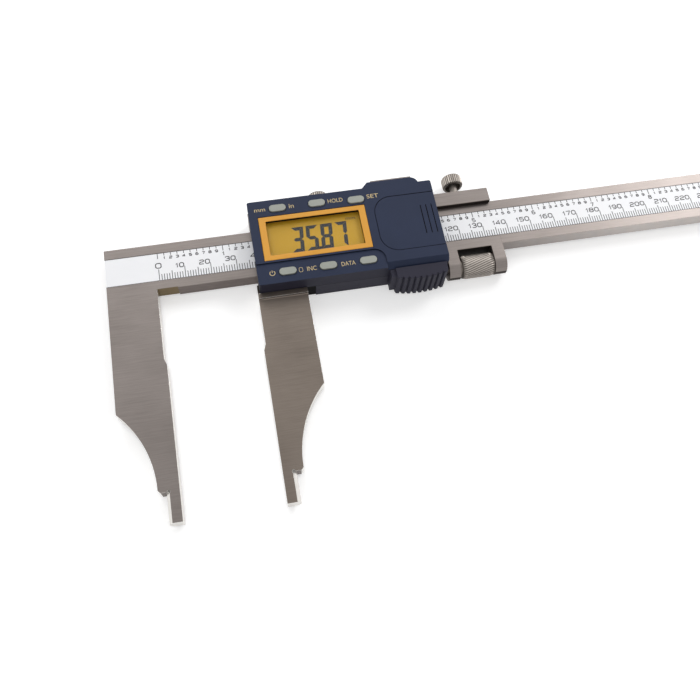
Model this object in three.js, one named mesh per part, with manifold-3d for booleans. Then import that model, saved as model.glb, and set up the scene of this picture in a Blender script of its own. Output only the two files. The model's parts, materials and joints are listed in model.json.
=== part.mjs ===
// Digital caliper with long jaws, a fine-adjust carriage and a sealed display housing, in millimetres.
// Each piece is drawn with X = 0 at its own measuring face, Y = 0 on the beam's centre line and Z = 0 on
// the beam's front plane. X runs along the beam with rising readings, Y from the jaw tips to the beam's
// top edge, Z out of the display. The outer group then puts the origin at the bottom centre of the box.
import * as THREE from "three";
import { mergeVertices } from "three/addons/utils/BufferGeometryUtils.js";
import Module from "manifold-3d";

const wasm = await Module();
wasm.setup();

// Clearances
const slideGap = 0.15; // steel that slides on steel
const seatGap = 0.1; // a piece that rests on, or is set into, another
const fitGap = 0.05; // a screw or rod in its hole, on the radius
const doorGap = 0.25; // round the battery door's outline
const pocketGap = 0.3; // round a lug or boss that only passes through
const overlap = 0.5; // how far solids run into each other before they are joined
const through = 1; // how far a cutting solid runs past the face it cuts

// Measuring range
const reading = 35.87;
const fullRange = 300;

// Beam and scale
const beamHeight = 20;
const beamThickness = 6;
const stripHeight = 12.1;
const stripCentreY = -0.06;
const stripThickness = 0.2;
const stripRecess = 0.3;
const cornerReliefLength = 7;
const cornerReliefDepth = 0.4;

// Jaws
const fixedJawWidth = 19.8;
const movingJawWidth = 20;
const jawReach = 89.4; // from the beam's lower edge to the tips
const jawLowerWidth = 7.6;
const jawCurveRadius = 42.4;
const jawCurveFoot = 1; // above the shelf
const jawShelfChamfer = 0.9;
const jawRelief = 0.9;
const reliefLength = 28.6; // from the beam's lower edge
const reliefSlope = 2.6;
const nibLength = 11;
const nibFrontWidth = 3.6;
const nibWidth = 5;
const nibRootRadius = 0.6;

// End stop
const endPlateThickness = 3.2;
const endPlateRim = 1.4; // how far it stands out round the beam
const endScrewSpacing = 12;
const endScrewRadius = 1.2;
const endScrewLength = 9;
const endHeadRadius = 2.2;
const endHeadHeight = 1.4;

// Slider frame
const frameLeft = 1.5;
const frameRight = 74.5;
const backPlate = 1.15;
const railTopZ = 0.4;
const upperRail = 8.3; // beyond the beam's top edge
const lowerRail = 4.6; // beyond the beam's lower edge
const rootDepth = 10.1; // jaw root, beyond the beam's lower edge
const rootTopZ = 1;
const rootFillet = 0.45;
const lugLength = 11.9;
const lugDepth = 2.5; // past the rod's axis
const lugLowZ = -5;
const lugHighZ = -0.45;

// Gib, its set screws and the lock screw
const gibLeft = 4;
const gibRight = 72;
const gibThickness = 1.15;
const gibHeight = 5.2;
const gibScrewXs = [14, 58];
const gibScrewRadius = 1.5;
const gibScrewLength = 4.5;
const lockX = 30.9;
const screwAxisZ = -2.8;
const padRadius = 1.3;
const padLength = 2.6;
const padLift = 0.25; // between the pad and the beam when the screw is slack
const shankRadius = 1.5;
const knobRadius = 4.25;
const knobLength = 5.3;
const lockStandOff = 0.5; // knob above the cover's top wall

// Front cover
const coverLeft = 1.7;
const coverRight = 75.9;
const coverAbove = 8.7; // beyond the beam's top edge
const coverBelow = 7.8; // beyond the beam's lower edge
const coverFrontZ = 7.7;
const coverWall = 1.5;
const coverCorner = 0.8;
const ceilingZ = 6.2;
const panelDrop = 0.5;
const panelRise = 1; // above the beam's lower edge
const panelRight = 51.5;
const panelCorner = 4.5;
const humpLeft = 47.9;
const humpRight = 70.9;
const humpRise = 2.5;
const humpSlope = 2.4;
const humpCorner = 3.4;
const gripChamfer = 2.2;

// Base shell under the cover's lower edge
const baseLeft = 23.5;
const baseLowZ = -7.2;
const baseWall = 1.5;
const baseFlange = 0.7;
const baseFloor = 1.2;
const tongueSetBack = 0.35; // from the shell's outer face, beside the jaw root

// Thumb grip
const gripLeft = 54.3;
const gripRight = 74.6;
const gripDepth = 5.6;
const gripLowZ = -6.6;
const gripHighZ = 6.5;
const gripRibs = 9;
const gripRibDepth = 0.8;
const gripBow = 1.3;
const gripFlange = 2;
const gripFlangeDepth = 3.2;
const gripFlangeInset = 1;

// Display
const bezelCentreX = 26.3;
const bezelCentreY = 1.6;
const bezelWidth = 42.2;
const bezelHeight = 19.4;
const bezelRimX = 2.7;
const bezelRimY = 2.15;
const windowThickness = 0.5;
const lcdThickness = 1.5;
const lcdMargin = 1.1; // inside the bezel's outline
const zebraWidth = 0.9;
const zebraInset = 1;

// Boards
const sensorGap = 0.2;
const sensorThickness = 0.7;
const sensorHeight = 18;
const sensorLeft = 5.5;
const sensorRight = 71;
const boardLowZ = 1.3;
const boardThickness = 0.8;
const boardInset = 0.6; // inside the cover's walls
const chipSize = 8;
const chipHeight = 1.1;
const gasketWidth = 1.4;

// Buttons
const buttonXs = [13.35, 28.95, 44.55];
const buttonAbove = 4.55; // beyond the beam's top edge
const buttonBelow = 3.35; // beyond the beam's lower edge
const setButtonDrop = 0.7; // the upper row's last button, below its row
const buttonLength = 6.6;
const buttonWidth = 2.9;
const buttonProud = 0.5;
const buttonGap = 0.25;
const flangeRim = 0.45;
const flangeThickness = 0.6;
const buttonTravel = 0.5;
const matThickness = 0.8;
const matRim = 2.1;
const domeRadius = 1.5;

// Battery
const doorLeft = 51;
const doorCentreY = 1.2;
const doorHeight = 24.2;
const doorCorner = 7;
const doorThickness = 1.2;
const railWidth = 0.7;
const railHeight = 0.5;
const doorGrooveXs = [69.4, 71.6, 73.8];
const doorGrooveLength = 13;
const doorGrooveWidth = 0.35;
const doorGrooveDepth = 0.3;
const cellX = 63.1;
const cellRadius = 10;
const cellThickness = 3.2;
const holderWall = 0.75;
const holderFloor = 0.4;
const contactThickness = 0.2;
const contactWidth = 4;
const sealHeight = 0.6;

// Data port
const portX = 60.2;
const portLength = 8;
const portHeight = 1.9;
const connectorLength = 10;
const connectorDepth = 4.5;
const connectorHeight = 2.7;
const portPlateLength = 16.5;
const portPlateThickness = 0.8;
const portPlateLowZ = 0.9;
const portPlateHighZ = 7;
const portScrewSpacing = 13.1;
const portScrewRadius = 0.8;
const portScrewLength = 2;
const portHeadRadius = 1.5;
const portHeadHeight = 0.6;

// Housing screws, driven from the back
const screwLeftX = 5.5;
const screwRightX = 70;
const screwAbove = 5; // beyond the beam's top edge
const screwBelowLeft = 3.5; // beyond the beam's lower edge, in the jaw root
const screwBelowRight = 2.4; // beyond the beam's lower edge, in the rail
const screwRadius = 1.1;
const screwHeadRadius = 2;
const screwHeadHeight = 0.9;
const screwHeadSunk = 0.15;
const screwTopZ = 5;
const bossRadius = 2.25;

// Fine-adjust carriage
const carriageLeft = 76.3;
const carriageRight = 99.9;
const carriageLowZ = -7.1;
const carriageHighZ = 2.1;
const carriageTop = 5.4; // beyond the beam's top edge
const upperLip = 0.7; // over the beam's front
const lowerLip = 2.7;
const bridge = 1.6; // between the beam's lower edge and the window
const adjustBelow = 7.2; // rod's axis, beyond the beam's lower edge
const windowLeft = 81.1;
const windowRight = 95;
const nutRadius = 4.75;
const nutChamfer = 0.4;
const nutCollar = 0.7;
const nutCollarRadius = 3;
const adjustRodRadius = 1.45;
const adjustRodRight = 99;
const adjustTravel = 4.5;
const clampX = 87.6;
const clampKnobGap = 5; // between the bar and the slack knob
const clampKnobLength = 4.4;
const shoeLength = 16;
const shoeHeight = 4.4;
const shoeThickness = 0.85;

// Derived places
const beamTop = beamHeight / 2;
const beamBottom = -beamHeight / 2;
const upperButtonY = beamTop + buttonAbove;
const lowerButtonY = beamBottom - buttonBelow;
const upperButtonSpots = buttonXs.map((x, i) => [x, upperButtonY - (i === 2 ? setButtonDrop : 0)]);
const lowerButtonSpots = buttonXs.map((x) => [x, lowerButtonY]);
const panelTopY = beamBottom + panelRise;
const adjustAxisY = beamBottom - adjustBelow;
const screwSpots = [
  [screwLeftX, beamTop + screwAbove],
  [screwRightX, beamTop + screwAbove],
  [screwLeftX, beamBottom - screwBelowLeft],
  [screwRightX, beamBottom - screwBelowRight],
];
const beamBackZ = -beamThickness;
const stripLowY = stripCentreY - stripHeight / 2;
const stripHighY = stripCentreY + stripHeight / 2;
const tipY = beamBottom - jawReach;
const shelfY = tipY + nibLength;
const beamRight = fullRange + carriageRight + adjustTravel + through;
const endPlateLeft = beamRight + seatGap;
const endPlateRight = endPlateLeft + endPlateThickness;
const frameBackZ = beamBackZ - slideGap - backPlate;
const frameTopY = beamTop + upperRail;
const frameBottomY = beamBottom - lowerRail;
const rootY = beamBottom - rootDepth;
const gibLowY = beamTop + slideGap;
const gibHighY = gibLowY + gibThickness;
const gibAxisZ = screwAxisZ;
const padLowY = beamTop + padLift;
const padHighY = padLowY + padLength;
const coverTopY = beamTop + coverAbove;
const coverBottomY = beamBottom - coverBelow;
const coverLowZ = railTopZ + seatGap;
const coverHumpY = coverTopY + humpRise;
const panelZ = coverFrontZ - panelDrop;
const boardHighZ = boardLowZ + boardThickness;
const onBoardZ = boardHighZ + seatGap;
const windowHighZ = ceilingZ - seatGap;
const windowLowZ = windowHighZ - windowThickness;
const lcdHighZ = windowLowZ - seatGap;
const lcdLowZ = lcdHighZ - lcdThickness;
const flangeHighZ = ceilingZ - seatGap;
const flangeLowZ = flangeHighZ - flangeThickness;
const domeHighZ = flangeLowZ - buttonTravel - seatGap;
const doorLowY = doorCentreY - doorHeight / 2;
const doorHighY = doorCentreY + doorHeight / 2;
const doorHighZ = coverFrontZ - fitGap;
const doorLowZ = doorHighZ - doorThickness;
const holderInner = cellRadius + fitGap + seatGap;
const holderOuter = holderInner + holderWall;
const contactLowZ = onBoardZ + holderFloor + seatGap;
const cellLowZ = contactLowZ + contactThickness + fitGap;
const cellHighZ = cellLowZ + cellThickness;
const sealHighZ = doorLowZ - seatGap;
const sealLowZ = sealHighZ - sealHeight;
const holderHighZ = sealLowZ - seatGap;
const portZ = onBoardZ + connectorHeight / 2;
const baseTopZ = railTopZ;
const baseInnerY = frameBottomY - 2 * seatGap;
const gripBackY = coverBottomY - slideGap;
const rootBackY = coverBottomY - slideGap;
const lugBottomY = adjustAxisY - lugDepth;
const lugRight = coverRight - baseWall - seatGap;
const lugLeft = lugRight - lugLength;
const adjustAxisZ = (carriageLowZ + carriageHighZ) / 2;
const legRadius = (carriageHighZ - carriageLowZ) / 2;
const carriageTopY = beamTop + carriageTop;
const windowTopY = beamBottom - bridge;
const nutLeft = windowLeft + slideGap + nutCollar;
const nutRight = windowRight - slideGap;
const clampKnobY = carriageTopY + clampKnobGap;
const lockKnobY = coverTopY + lockStandOff;
const shoeLowY = beamTop + padLift;
const shoeHighY = shoeLowY + shoeThickness;
const boxLeft = -fixedJawWidth;
const boxRight = endPlateRight;
const boxBottomY = tipY;
const boxTopY = Math.max(clampKnobY + clampKnobLength, lockKnobY + knobLength);

// Finishes
const finishes = {
  brushedSteel: { color: 0x8f857e, roughness: 0.38, metalness: 1 },
  screwSteel: { color: 0x9a948c, roughness: 0.3, metalness: 1 },
  brass: { color: 0xb08d4f, roughness: 0.35, metalness: 1 },
  scaleWhite: { color: 0xe9eaec, roughness: 0.45, metalness: 0 },
  housingNavy: { color: 0x3a4254, roughness: 0.5, metalness: 0 },
  bezelAmber: { color: 0xde9c2c, roughness: 0.45, metalness: 0 },
  lcdOlive: { color: 0xa5872d, roughness: 0.3, metalness: 0 },
  clearLens: { color: 0xf2f2ee, roughness: 0.05, metalness: 0, transparent: true, opacity: 0.3 },
  buttonGrey: { color: 0xa0a39b, roughness: 0.55, metalness: 0 },
  boardGreen: { color: 0x1f5a3a, roughness: 0.5, metalness: 0 },
  darkRubber: { color: 0x2c2e33, roughness: 0.8, metalness: 0 },
  chipBlack: { color: 0x1c1c1e, roughness: 0.6, metalness: 0 },
  nickel: { color: 0xc4c4c0, roughness: 0.25, metalness: 1 },
};

// A closed three.js geometry as a solid that can be cut and joined.
function solidFrom(geometry) {
  const loose = geometry.index ? geometry.toNonIndexed() : geometry;
  const bare = new THREE.BufferGeometry();
  bare.setAttribute("position", loose.getAttribute("position"));
  const merged = mergeVertices(bare, 1e-4);
  const mesh = new wasm.Mesh({
    numProp: 3,
    vertProperties: merged.getAttribute("position").array,
    triVerts: new Uint32Array(merged.index.array),
  });
  return new wasm.Manifold(mesh);
}

function geometryFrom(solid) {
  const mesh = solid.getMesh();
  const indexed = new THREE.BufferGeometry();
  indexed.setAttribute("position", new THREE.BufferAttribute(mesh.vertProperties, 3));
  indexed.setIndex(new THREE.BufferAttribute(mesh.triVerts, 1));
  const flat = indexed.toNonIndexed();
  flat.computeVertexNormals();
  return flat;
}

function addPiece(group, name, solid, finish) {
  const mesh = new THREE.Mesh(geometryFrom(solid), new THREE.MeshStandardMaterial(finish));
  mesh.name = name;
  group.add(mesh);
  return mesh;
}

// A box between two values on each axis.
function block(x, y, z) {
  const geometry = new THREE.BoxGeometry(x[1] - x[0], y[1] - y[0], z[1] - z[0]);
  geometry.translate((x[0] + x[1]) / 2, (y[0] + y[1]) / 2, (z[0] + z[1]) / 2);
  return solidFrom(geometry);
}

// A cylinder or cone along one axis; centre gives its place on the other two.
function cylinder(axis, radius, span, centre, sides = 24, endRadius = radius) {
  const geometry = new THREE.CylinderGeometry(endRadius, radius, span[1] - span[0], sides);
  geometry.translate(0, (span[0] + span[1]) / 2, 0);
  if (axis === "x") geometry.rotateZ(-Math.PI / 2);
  if (axis === "z") geometry.rotateX(Math.PI / 2);
  geometry.translate(centre.x ?? 0, centre.y ?? 0, centre.z ?? 0);
  return solidFrom(geometry);
}

// An outline in X and Y, raised between two heights.
function slab(shape, z, curveSegments = 8) {
  const depth = z[1] - z[0];
  const geometry = new THREE.ExtrudeGeometry(shape, { depth, bevelEnabled: false, curveSegments });
  geometry.translate(0, 0, z[0]);
  return solidFrom(geometry);
}

// An outline in Y and Z, run along X.
function prismAlongX(points, x) {
  const depth = x[1] - x[0];
  const shape = new THREE.Shape(points.map(([y, z]) => new THREE.Vector2(y, z)));
  const geometry = new THREE.ExtrudeGeometry(shape, { depth, bevelEnabled: false });
  const turn = new THREE.Matrix4().makeBasis(
    new THREE.Vector3(0, 1, 0),
    new THREE.Vector3(0, 0, 1),
    new THREE.Vector3(1, 0, 0),
  );
  geometry.applyMatrix4(turn);
  geometry.translate(x[0], 0, 0);
  return solidFrom(geometry);
}

// An outline in X and Z, run along Y.
function prismAlongY(points, y) {
  const depth = y[1] - y[0];
  const shape = new THREE.Shape(points.map(([x, z]) => new THREE.Vector2(z, x)));
  const geometry = new THREE.ExtrudeGeometry(shape, { depth, bevelEnabled: false });
  const turn = new THREE.Matrix4().makeBasis(
    new THREE.Vector3(0, 0, 1),
    new THREE.Vector3(1, 0, 0),
    new THREE.Vector3(0, 1, 0),
  );
  geometry.applyMatrix4(turn);
  geometry.translate(0, y[0], 0);
  return solidFrom(geometry);
}

function roundedRect(x, y, radius) {
  const shape = new THREE.Shape();
  shape.absarc(x[0] + radius, y[0] + radius, radius, Math.PI, 1.5 * Math.PI);
  shape.absarc(x[1] - radius, y[0] + radius, radius, 1.5 * Math.PI, 2 * Math.PI);
  shape.absarc(x[1] - radius, y[1] - radius, radius, 0, 0.5 * Math.PI);
  shape.absarc(x[0] + radius, y[1] - radius, radius, 0.5 * Math.PI, Math.PI);
  shape.closePath();
  return shape;
}

// A slot with round ends, centred at x, y and grown by rim all round.
function stadium(x, y, length, width, rim = 0) {
  const halfLength = length / 2 + rim;
  const halfWidth = width / 2 + rim;
  const flat = halfLength - halfWidth;
  const shape = new THREE.Shape();
  shape.absarc(x + flat, y, halfWidth, -0.5 * Math.PI, 0.5 * Math.PI);
  shape.absarc(x - flat, y, halfWidth, 0.5 * Math.PI, 1.5 * Math.PI);
  shape.closePath();
  return shape;
}

function joined(...solids) {
  return solids.reduce((whole, next) => whole.add(next));
}

function cutBy(body, ...tools) {
  return tools.reduce((whole, tool) => whole.subtract(tool), body);
}

// Jaw plate and nib. side is 1 for the moving jaw and -1 for the fixed one, and faces 0 either way.
function jaw(side, width, topY) {
  const centreX = jawLowerWidth + jawCurveRadius;
  const footY = shelfY + jawCurveFoot;
  const sweep = Math.acos((centreX - width) / jawCurveRadius);
  const steps = 14;
  const outline = [
    [jawRelief, topY],
    [jawRelief, beamBottom - reliefLength],
    [0, beamBottom - reliefLength - reliefSlope],
    [0, shelfY],
    [jawLowerWidth - jawShelfChamfer, shelfY],
    [jawLowerWidth, shelfY + jawShelfChamfer],
  ];
  for (let step = 0; step <= steps; step += 1) {
    const angle = (sweep * step) / steps;
    const x = centreX - jawCurveRadius * Math.cos(angle);
    outline.push([x, footY + jawCurveRadius * Math.sin(angle)]);
  }
  outline.push([width, topY]);
  const shape = new THREE.Shape(outline.map(([x, y]) => new THREE.Vector2(side * x, y)));
  const plate = slab(shape, [beamBackZ, 0]);
  const rootNotch = cylinder("z", nibRootRadius, [beamBackZ - through, through], {
    x: side * (nibFrontWidth + nibRootRadius / 2),
    y: shelfY,
  }, 12);
  return cutBy(joined(plate, nib(side)), rootNotch);
}

// The inside-measuring nib: flat on the measuring face, part of a cylinder on its outer side.
function nib(side) {
  const bulge = nibWidth - nibFrontWidth;
  const half = beamThickness / 2;
  const radius = (half * half + bulge * bulge) / (2 * bulge);
  const sweep = Math.asin(half / radius);
  const steps = 12;
  const outline = [
    [0, beamBackZ],
    [0, 0],
  ];
  for (let step = 0; step <= steps; step += 1) {
    const angle = sweep - (2 * sweep * step) / steps;
    const x = nibWidth - radius + radius * Math.cos(angle);
    outline.push([side * x, -half + radius * Math.sin(angle)]);
  }
  return prismAlongY(outline, [tipY, shelfY + overlap]);
}

function mainBeam() {
  const bar = block([-fixedJawWidth, beamRight], [beamBottom, beamTop], [beamBackZ, 0]);
  const recess = block(
    [-fixedJawWidth - through, beamRight + through],
    [stripLowY, stripHighY],
    [-stripRecess, through],
  );
  const cornerRelief = block(
    [-jawRelief, cornerReliefLength],
    [beamBottom - through, beamBottom + cornerReliefDepth],
    [beamBackZ - through, through],
  );
  const body = joined(bar, jaw(-1, fixedJawWidth, beamBottom + overlap));
  const holes = endScrewYs().map((y) =>
    cylinder("x", endScrewRadius + fitGap, [beamRight - endScrewLength, beamRight + through], {
      y,
      z: beamBackZ / 2,
    }),
  );
  return cutBy(body, recess, cornerRelief, ...holes);
}

function scaleStrip() {
  const lowZ = -stripRecess + fitGap;
  return block(
    [-fixedJawWidth + fitGap, beamRight - fitGap],
    [stripLowY + fitGap, stripHighY - fitGap],
    [lowZ, lowZ + stripThickness],
  );
}

function endScrewYs() {
  return [-endScrewSpacing / 2, endScrewSpacing / 2];
}

function endPlate() {
  const plate = block(
    [endPlateLeft, endPlateRight],
    [beamBottom - endPlateRim, beamTop + endPlateRim],
    [frameBackZ + seatGap, endPlateRim],
  );
  const holes = endScrewYs().flatMap((y) => [
    cylinder("x", endScrewRadius + fitGap, [endPlateLeft - through, endPlateRight + through], {
      y,
      z: beamBackZ / 2,
    }),
    cylinder(
      "x",
      endHeadRadius + fitGap,
      [endPlateRight - endHeadHeight - 2 * seatGap, endPlateRight + through],
      { y, z: beamBackZ / 2 },
    ),
  ]);
  return cutBy(plate, ...holes);
}

function endScrew(y) {
  const centre = { y, z: beamBackZ / 2 };
  const headRight = endPlateRight - seatGap;
  const head = cylinder("x", endHeadRadius, [headRight - endHeadHeight, headRight], centre);
  const shankLeft = beamRight - endScrewLength + pocketGap;
  const shank = cylinder("x", endScrewRadius, [shankLeft, headRight - endHeadHeight / 2], centre);
  const slot = block(
    [headRight - endHeadHeight / 2, headRight + through],
    [y - endHeadRadius, y + endHeadRadius],
    [beamBackZ / 2 - 0.25, beamBackZ / 2 + 0.25],
  );
  return cutBy(joined(head, shank), slot);
}

// Raised block where the moving jaw leaves the frame, with a concave fillet down to the jaw's faces.
function jawRoot() {
  const backFillet = beamBackZ - frameBackZ;
  const steps = 6;
  const outline = [
    [frameBottomY + overlap, railTopZ],
    [frameBottomY + overlap, frameBackZ],
    [rootY, frameBackZ],
  ];
  for (let step = 0; step <= steps; step += 1) {
    const angle = (0.5 * Math.PI * step) / steps;
    const y = rootY - backFillet * (1 - Math.cos(angle));
    outline.push([y, beamBackZ - backFillet * (1 - Math.sin(angle))]);
  }
  outline.push([rootY - rootFillet, 0]);
  for (let step = 0; step <= steps; step += 1) {
    const angle = (0.5 * Math.PI * step) / steps;
    const y = rootY - rootFillet * (1 - Math.sin(angle));
    outline.push([y, rootFillet * (1 - Math.cos(angle))]);
  }
  outline.push([rootY, rootTopZ]);
  outline.push([rootBackY, rootTopZ]);
  outline.push([rootBackY, railTopZ]);
  return prismAlongX(outline, [jawRelief, movingJawWidth]);
}

function sliderFrame() {
  const channel = block(
    [frameLeft, frameRight],
    [frameBottomY, frameTopY],
    [frameBackZ, railTopZ],
  );
  const beamSlot = block(
    [frameLeft - through, frameRight + through],
    [beamBottom - slideGap, beamTop + slideGap],
    [beamBackZ - slideGap, railTopZ + through],
  );
  const gibGroove = block(
    [gibLeft - seatGap, gibRight + seatGap],
    [beamTop, gibHighY + seatGap],
    [gibAxisZ - gibHeight / 2 - seatGap, gibAxisZ + gibHeight / 2 + seatGap],
  );
  const lug = block(
    [lugLeft, lugRight],
    [lugBottomY, frameBottomY + overlap],
    [lugLowZ, lugHighZ],
  );
  const rodBore = cylinder(
    "x",
    adjustRodRadius + fitGap,
    [lugLeft + through, frameRight + through],
    { y: adjustAxisY, z: adjustAxisZ },
  );
  const screwHoles = screwSpots.flatMap(([x, y]) => [
    cylinder("z", screwRadius + fitGap, [frameBackZ - through, railTopZ + through], { x, y }, 16),
    cylinder(
      "z",
      screwHeadRadius + fitGap,
      [frameBackZ - through, frameBackZ + screwHeadSunk + screwHeadHeight + seatGap],
      { x, y },
    ),
  ]);
  const setScrewHoles = gibScrewXs.map((x) =>
    cylinder("y", gibScrewRadius + fitGap, [beamTop, frameTopY + through], { x, z: screwAxisZ }, 16),
  );
  const lockHole = cylinder("y", shankRadius + fitGap, [beamTop, frameTopY + through], {
    x: lockX,
    z: screwAxisZ,
  });
  const body = joined(
    cutBy(channel, beamSlot, gibGroove),
    jawRoot(),
    jaw(1, movingJawWidth, rootY + overlap),
    lug,
  );
  return cutBy(body, rodBore, ...screwHoles, ...setScrewHoles, lockHole);
}

function gibStrip() {
  const strip = block(
    [gibLeft, gibRight],
    [gibLowY, gibHighY],
    [gibAxisZ - gibHeight / 2, gibAxisZ + gibHeight / 2],
  );
  const padHole = cylinder("y", padRadius + slideGap, [beamTop, frameTopY], {
    x: lockX,
    z: screwAxisZ,
  });
  return cutBy(strip, padHole);
}

function gibScrew(x) {
  const lowY = gibHighY + seatGap;
  const centre = { x, z: screwAxisZ };
  const body = cylinder("y", gibScrewRadius, [lowY, lowY + gibScrewLength], centre, 16);
  const slot = block(
    [x - gibScrewRadius, x + gibScrewRadius],
    [lowY + gibScrewLength - 0.8, lowY + gibScrewLength + through],
    [screwAxisZ - 0.25, screwAxisZ + 0.25],
  );
  return cutBy(body, slot);
}

function lockPad() {
  return cylinder("y", padRadius, [padLowY, padHighY], { x: lockX, z: screwAxisZ }, 16);
}

// A knurled thumb screw along Y: knob from knobY outwards, shank down to tipLowY.
function thumbScrew(x, knobY, length, tipLowY) {
  const centre = { x, z: screwAxisZ };
  const edge = 0.4;
  const knobHighY = knobY + length;
  const knob = joined(
    cylinder("y", knobRadius - edge, [knobY, knobY + edge], centre, 32, knobRadius),
    cylinder("y", knobRadius, [knobY + edge, knobHighY - edge], centre, 32),
    cylinder("y", knobRadius, [knobHighY - edge, knobHighY], centre, 32, knobRadius - edge),
  );
  const shank = cylinder("y", shankRadius, [tipLowY, knobY + overlap], centre, 20);
  return joined(knob, shank);
}

// Outline of the cover, pulled in by inset, with the hump over the data port on its top edge.
function coverOutline(inset) {
  const left = coverLeft + inset;
  const right = coverRight - inset;
  const low = coverBottomY + inset;
  const high = coverTopY - inset;
  const top = coverHumpY - inset;
  const corner = Math.max(coverCorner - inset, 0.1);
  const humpRadius = humpCorner - inset;
  const shape = new THREE.Shape();
  shape.absarc(left + corner, low + corner, corner, Math.PI, 1.5 * Math.PI);
  shape.absarc(right - corner, low + corner, corner, 1.5 * Math.PI, 2 * Math.PI);
  shape.absarc(right - corner, high - corner, corner, 0, 0.5 * Math.PI);
  shape.lineTo(humpRight - inset, high);
  shape.absarc(humpRight - inset - humpRadius, top - humpRadius, humpRadius, humpStart(), 0.5 * Math.PI);
  shape.lineTo(humpLeft + humpSlope + inset / 2, top);
  shape.lineTo(humpLeft + inset / 2, high);
  shape.absarc(left + corner, high - corner, corner, 0.5 * Math.PI, Math.PI);
  shape.closePath();
  return shape;
}

// Where the hump's round shoulder meets the cover's top edge.
function humpStart() {
  return Math.asin((humpCorner - humpRise) / humpCorner);
}

function coverBosses() {
  return screwSpots.map(([x, y]) =>
    cylinder("z", bossRadius, [onBoardZ, ceilingZ + overlap], { x, y }),
  );
}

function buttonHoles() {
  return [...upperButtonSpots, ...lowerButtonSpots].map(([x, y]) => {
    const hole = stadium(x, y, buttonLength, buttonWidth, buttonGap);
    return slab(hole, [ceilingZ - through, coverFrontZ + through], 6);
  });
}

// The battery door's outline: square on the right, round corners on the left.
function doorShape(left, right, rim) {
  const radius = doorCorner + rim;
  const low = doorLowY - rim;
  const high = doorHighY + rim;
  const shape = new THREE.Shape();
  shape.moveTo(right, low);
  shape.lineTo(right, high);
  shape.absarc(left - rim + radius, high - radius, radius, 0.5 * Math.PI, Math.PI);
  shape.absarc(left - rim + radius, low + radius, radius, Math.PI, 1.5 * Math.PI);
  shape.closePath();
  return shape;
}

function doorRails(gap) {
  const left = doorLeft + doorCorner - gap;
  const right = gap ? coverRight + through : coverRight - fitGap;
  const lowZ = doorLowZ - gap;
  return block(
    [left, right],
    [doorLowY - railWidth - gap, doorHighY + railWidth + gap],
    [lowZ, doorLowZ + railHeight + gap],
  );
}

function frontCover() {
  const shell = slab(coverOutline(0), [coverLowZ, coverFrontZ], 6);
  const cavity = slab(coverOutline(coverWall), [coverLowZ - through, ceilingZ], 6);
  const panelShape = roundedRect(
    [coverLeft - 2 * panelCorner, panelRight],
    [coverBottomY - 2 * panelCorner, panelTopY],
    panelCorner,
  );
  const panelCut = slab(panelShape, [panelZ, coverFrontZ + through]);
  const displayCut = block(
    [bezelCentreX - bezelWidth / 2 - seatGap, bezelCentreX + bezelWidth / 2 + seatGap],
    [bezelCentreY - bezelHeight / 2 - seatGap, bezelCentreY + bezelHeight / 2 + seatGap],
    [ceilingZ - through, coverFrontZ + through],
  );
  const doorCut = slab(doorShape(doorLeft, coverRight + through, doorGap), [
    doorLowZ - seatGap,
    coverFrontZ + through,
  ]);
  const batteryWell = cylinder("z", holderOuter + pocketGap, [ceilingZ - through, coverFrontZ], {
    x: cellX,
    y: doorCentreY,
  }, 40);
  const portSlot = block(
    [portX - portLength / 2, portX + portLength / 2],
    [coverTopY, coverHumpY + through],
    [portZ - portHeight / 2, portZ + portHeight / 2],
  );
  const portScrewHoles = portScrewXs().map((x) =>
    cylinder("y", portScrewRadius + fitGap, [coverTopY, coverHumpY + through], { x, z: portZ }, 12),
  );
  const chamfer = prismAlongX(
    [
      [coverBottomY - through, coverFrontZ - gripChamfer - through],
      [coverBottomY + gripChamfer + through, coverFrontZ + through],
      [coverBottomY - through, coverFrontZ + through],
    ],
    [panelRight, coverRight + through],
  );
  const screwBores = screwSpots.map(([x, y]) =>
    cylinder("z", screwRadius + fitGap, [boardLowZ, screwTopZ + pocketGap], { x, y }, 16),
  );
  const body = joined(cutBy(shell, cavity), ...coverBosses());
  return cutBy(
    body,
    panelCut,
    displayCut,
    doorCut,
    doorRails(seatGap),
    batteryWell,
    portSlot,
    chamfer,
    ...portScrewHoles,
    ...screwBores,
    ...buttonHoles(),
  );
}

// A channel open towards the frame, with a window for the rod's lug behind the grip.
function baseShell() {
  const outer = block([baseLeft, coverRight], [coverBottomY, baseInnerY], [baseLowZ, baseTopZ]);
  const tongue = block(
    [movingJawWidth + pocketGap, baseLeft + overlap],
    [coverBottomY + tongueSetBack, baseInnerY],
    [baseLowZ, baseTopZ],
  );
  const shell = joined(outer, tongue);
  const hollow = block(
    [baseLeft + baseWall, coverRight - baseWall],
    [coverBottomY + baseWall, baseInnerY + through],
    [baseLowZ + baseFloor, baseTopZ - baseFlange],
  );
  const lugWindow = block(
    [lugLeft - pocketGap, coverRight - baseWall],
    [coverBottomY - through, baseInnerY],
    [lugLowZ - pocketGap, lugHighZ + seatGap],
  );
  const rodHole = cylinder(
    "x",
    adjustRodRadius + pocketGap,
    [coverRight - baseWall - through, coverRight + through],
    { y: adjustAxisY, z: adjustAxisZ },
  );
  return cutBy(shell, hollow, lugWindow, rodHole);
}

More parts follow.
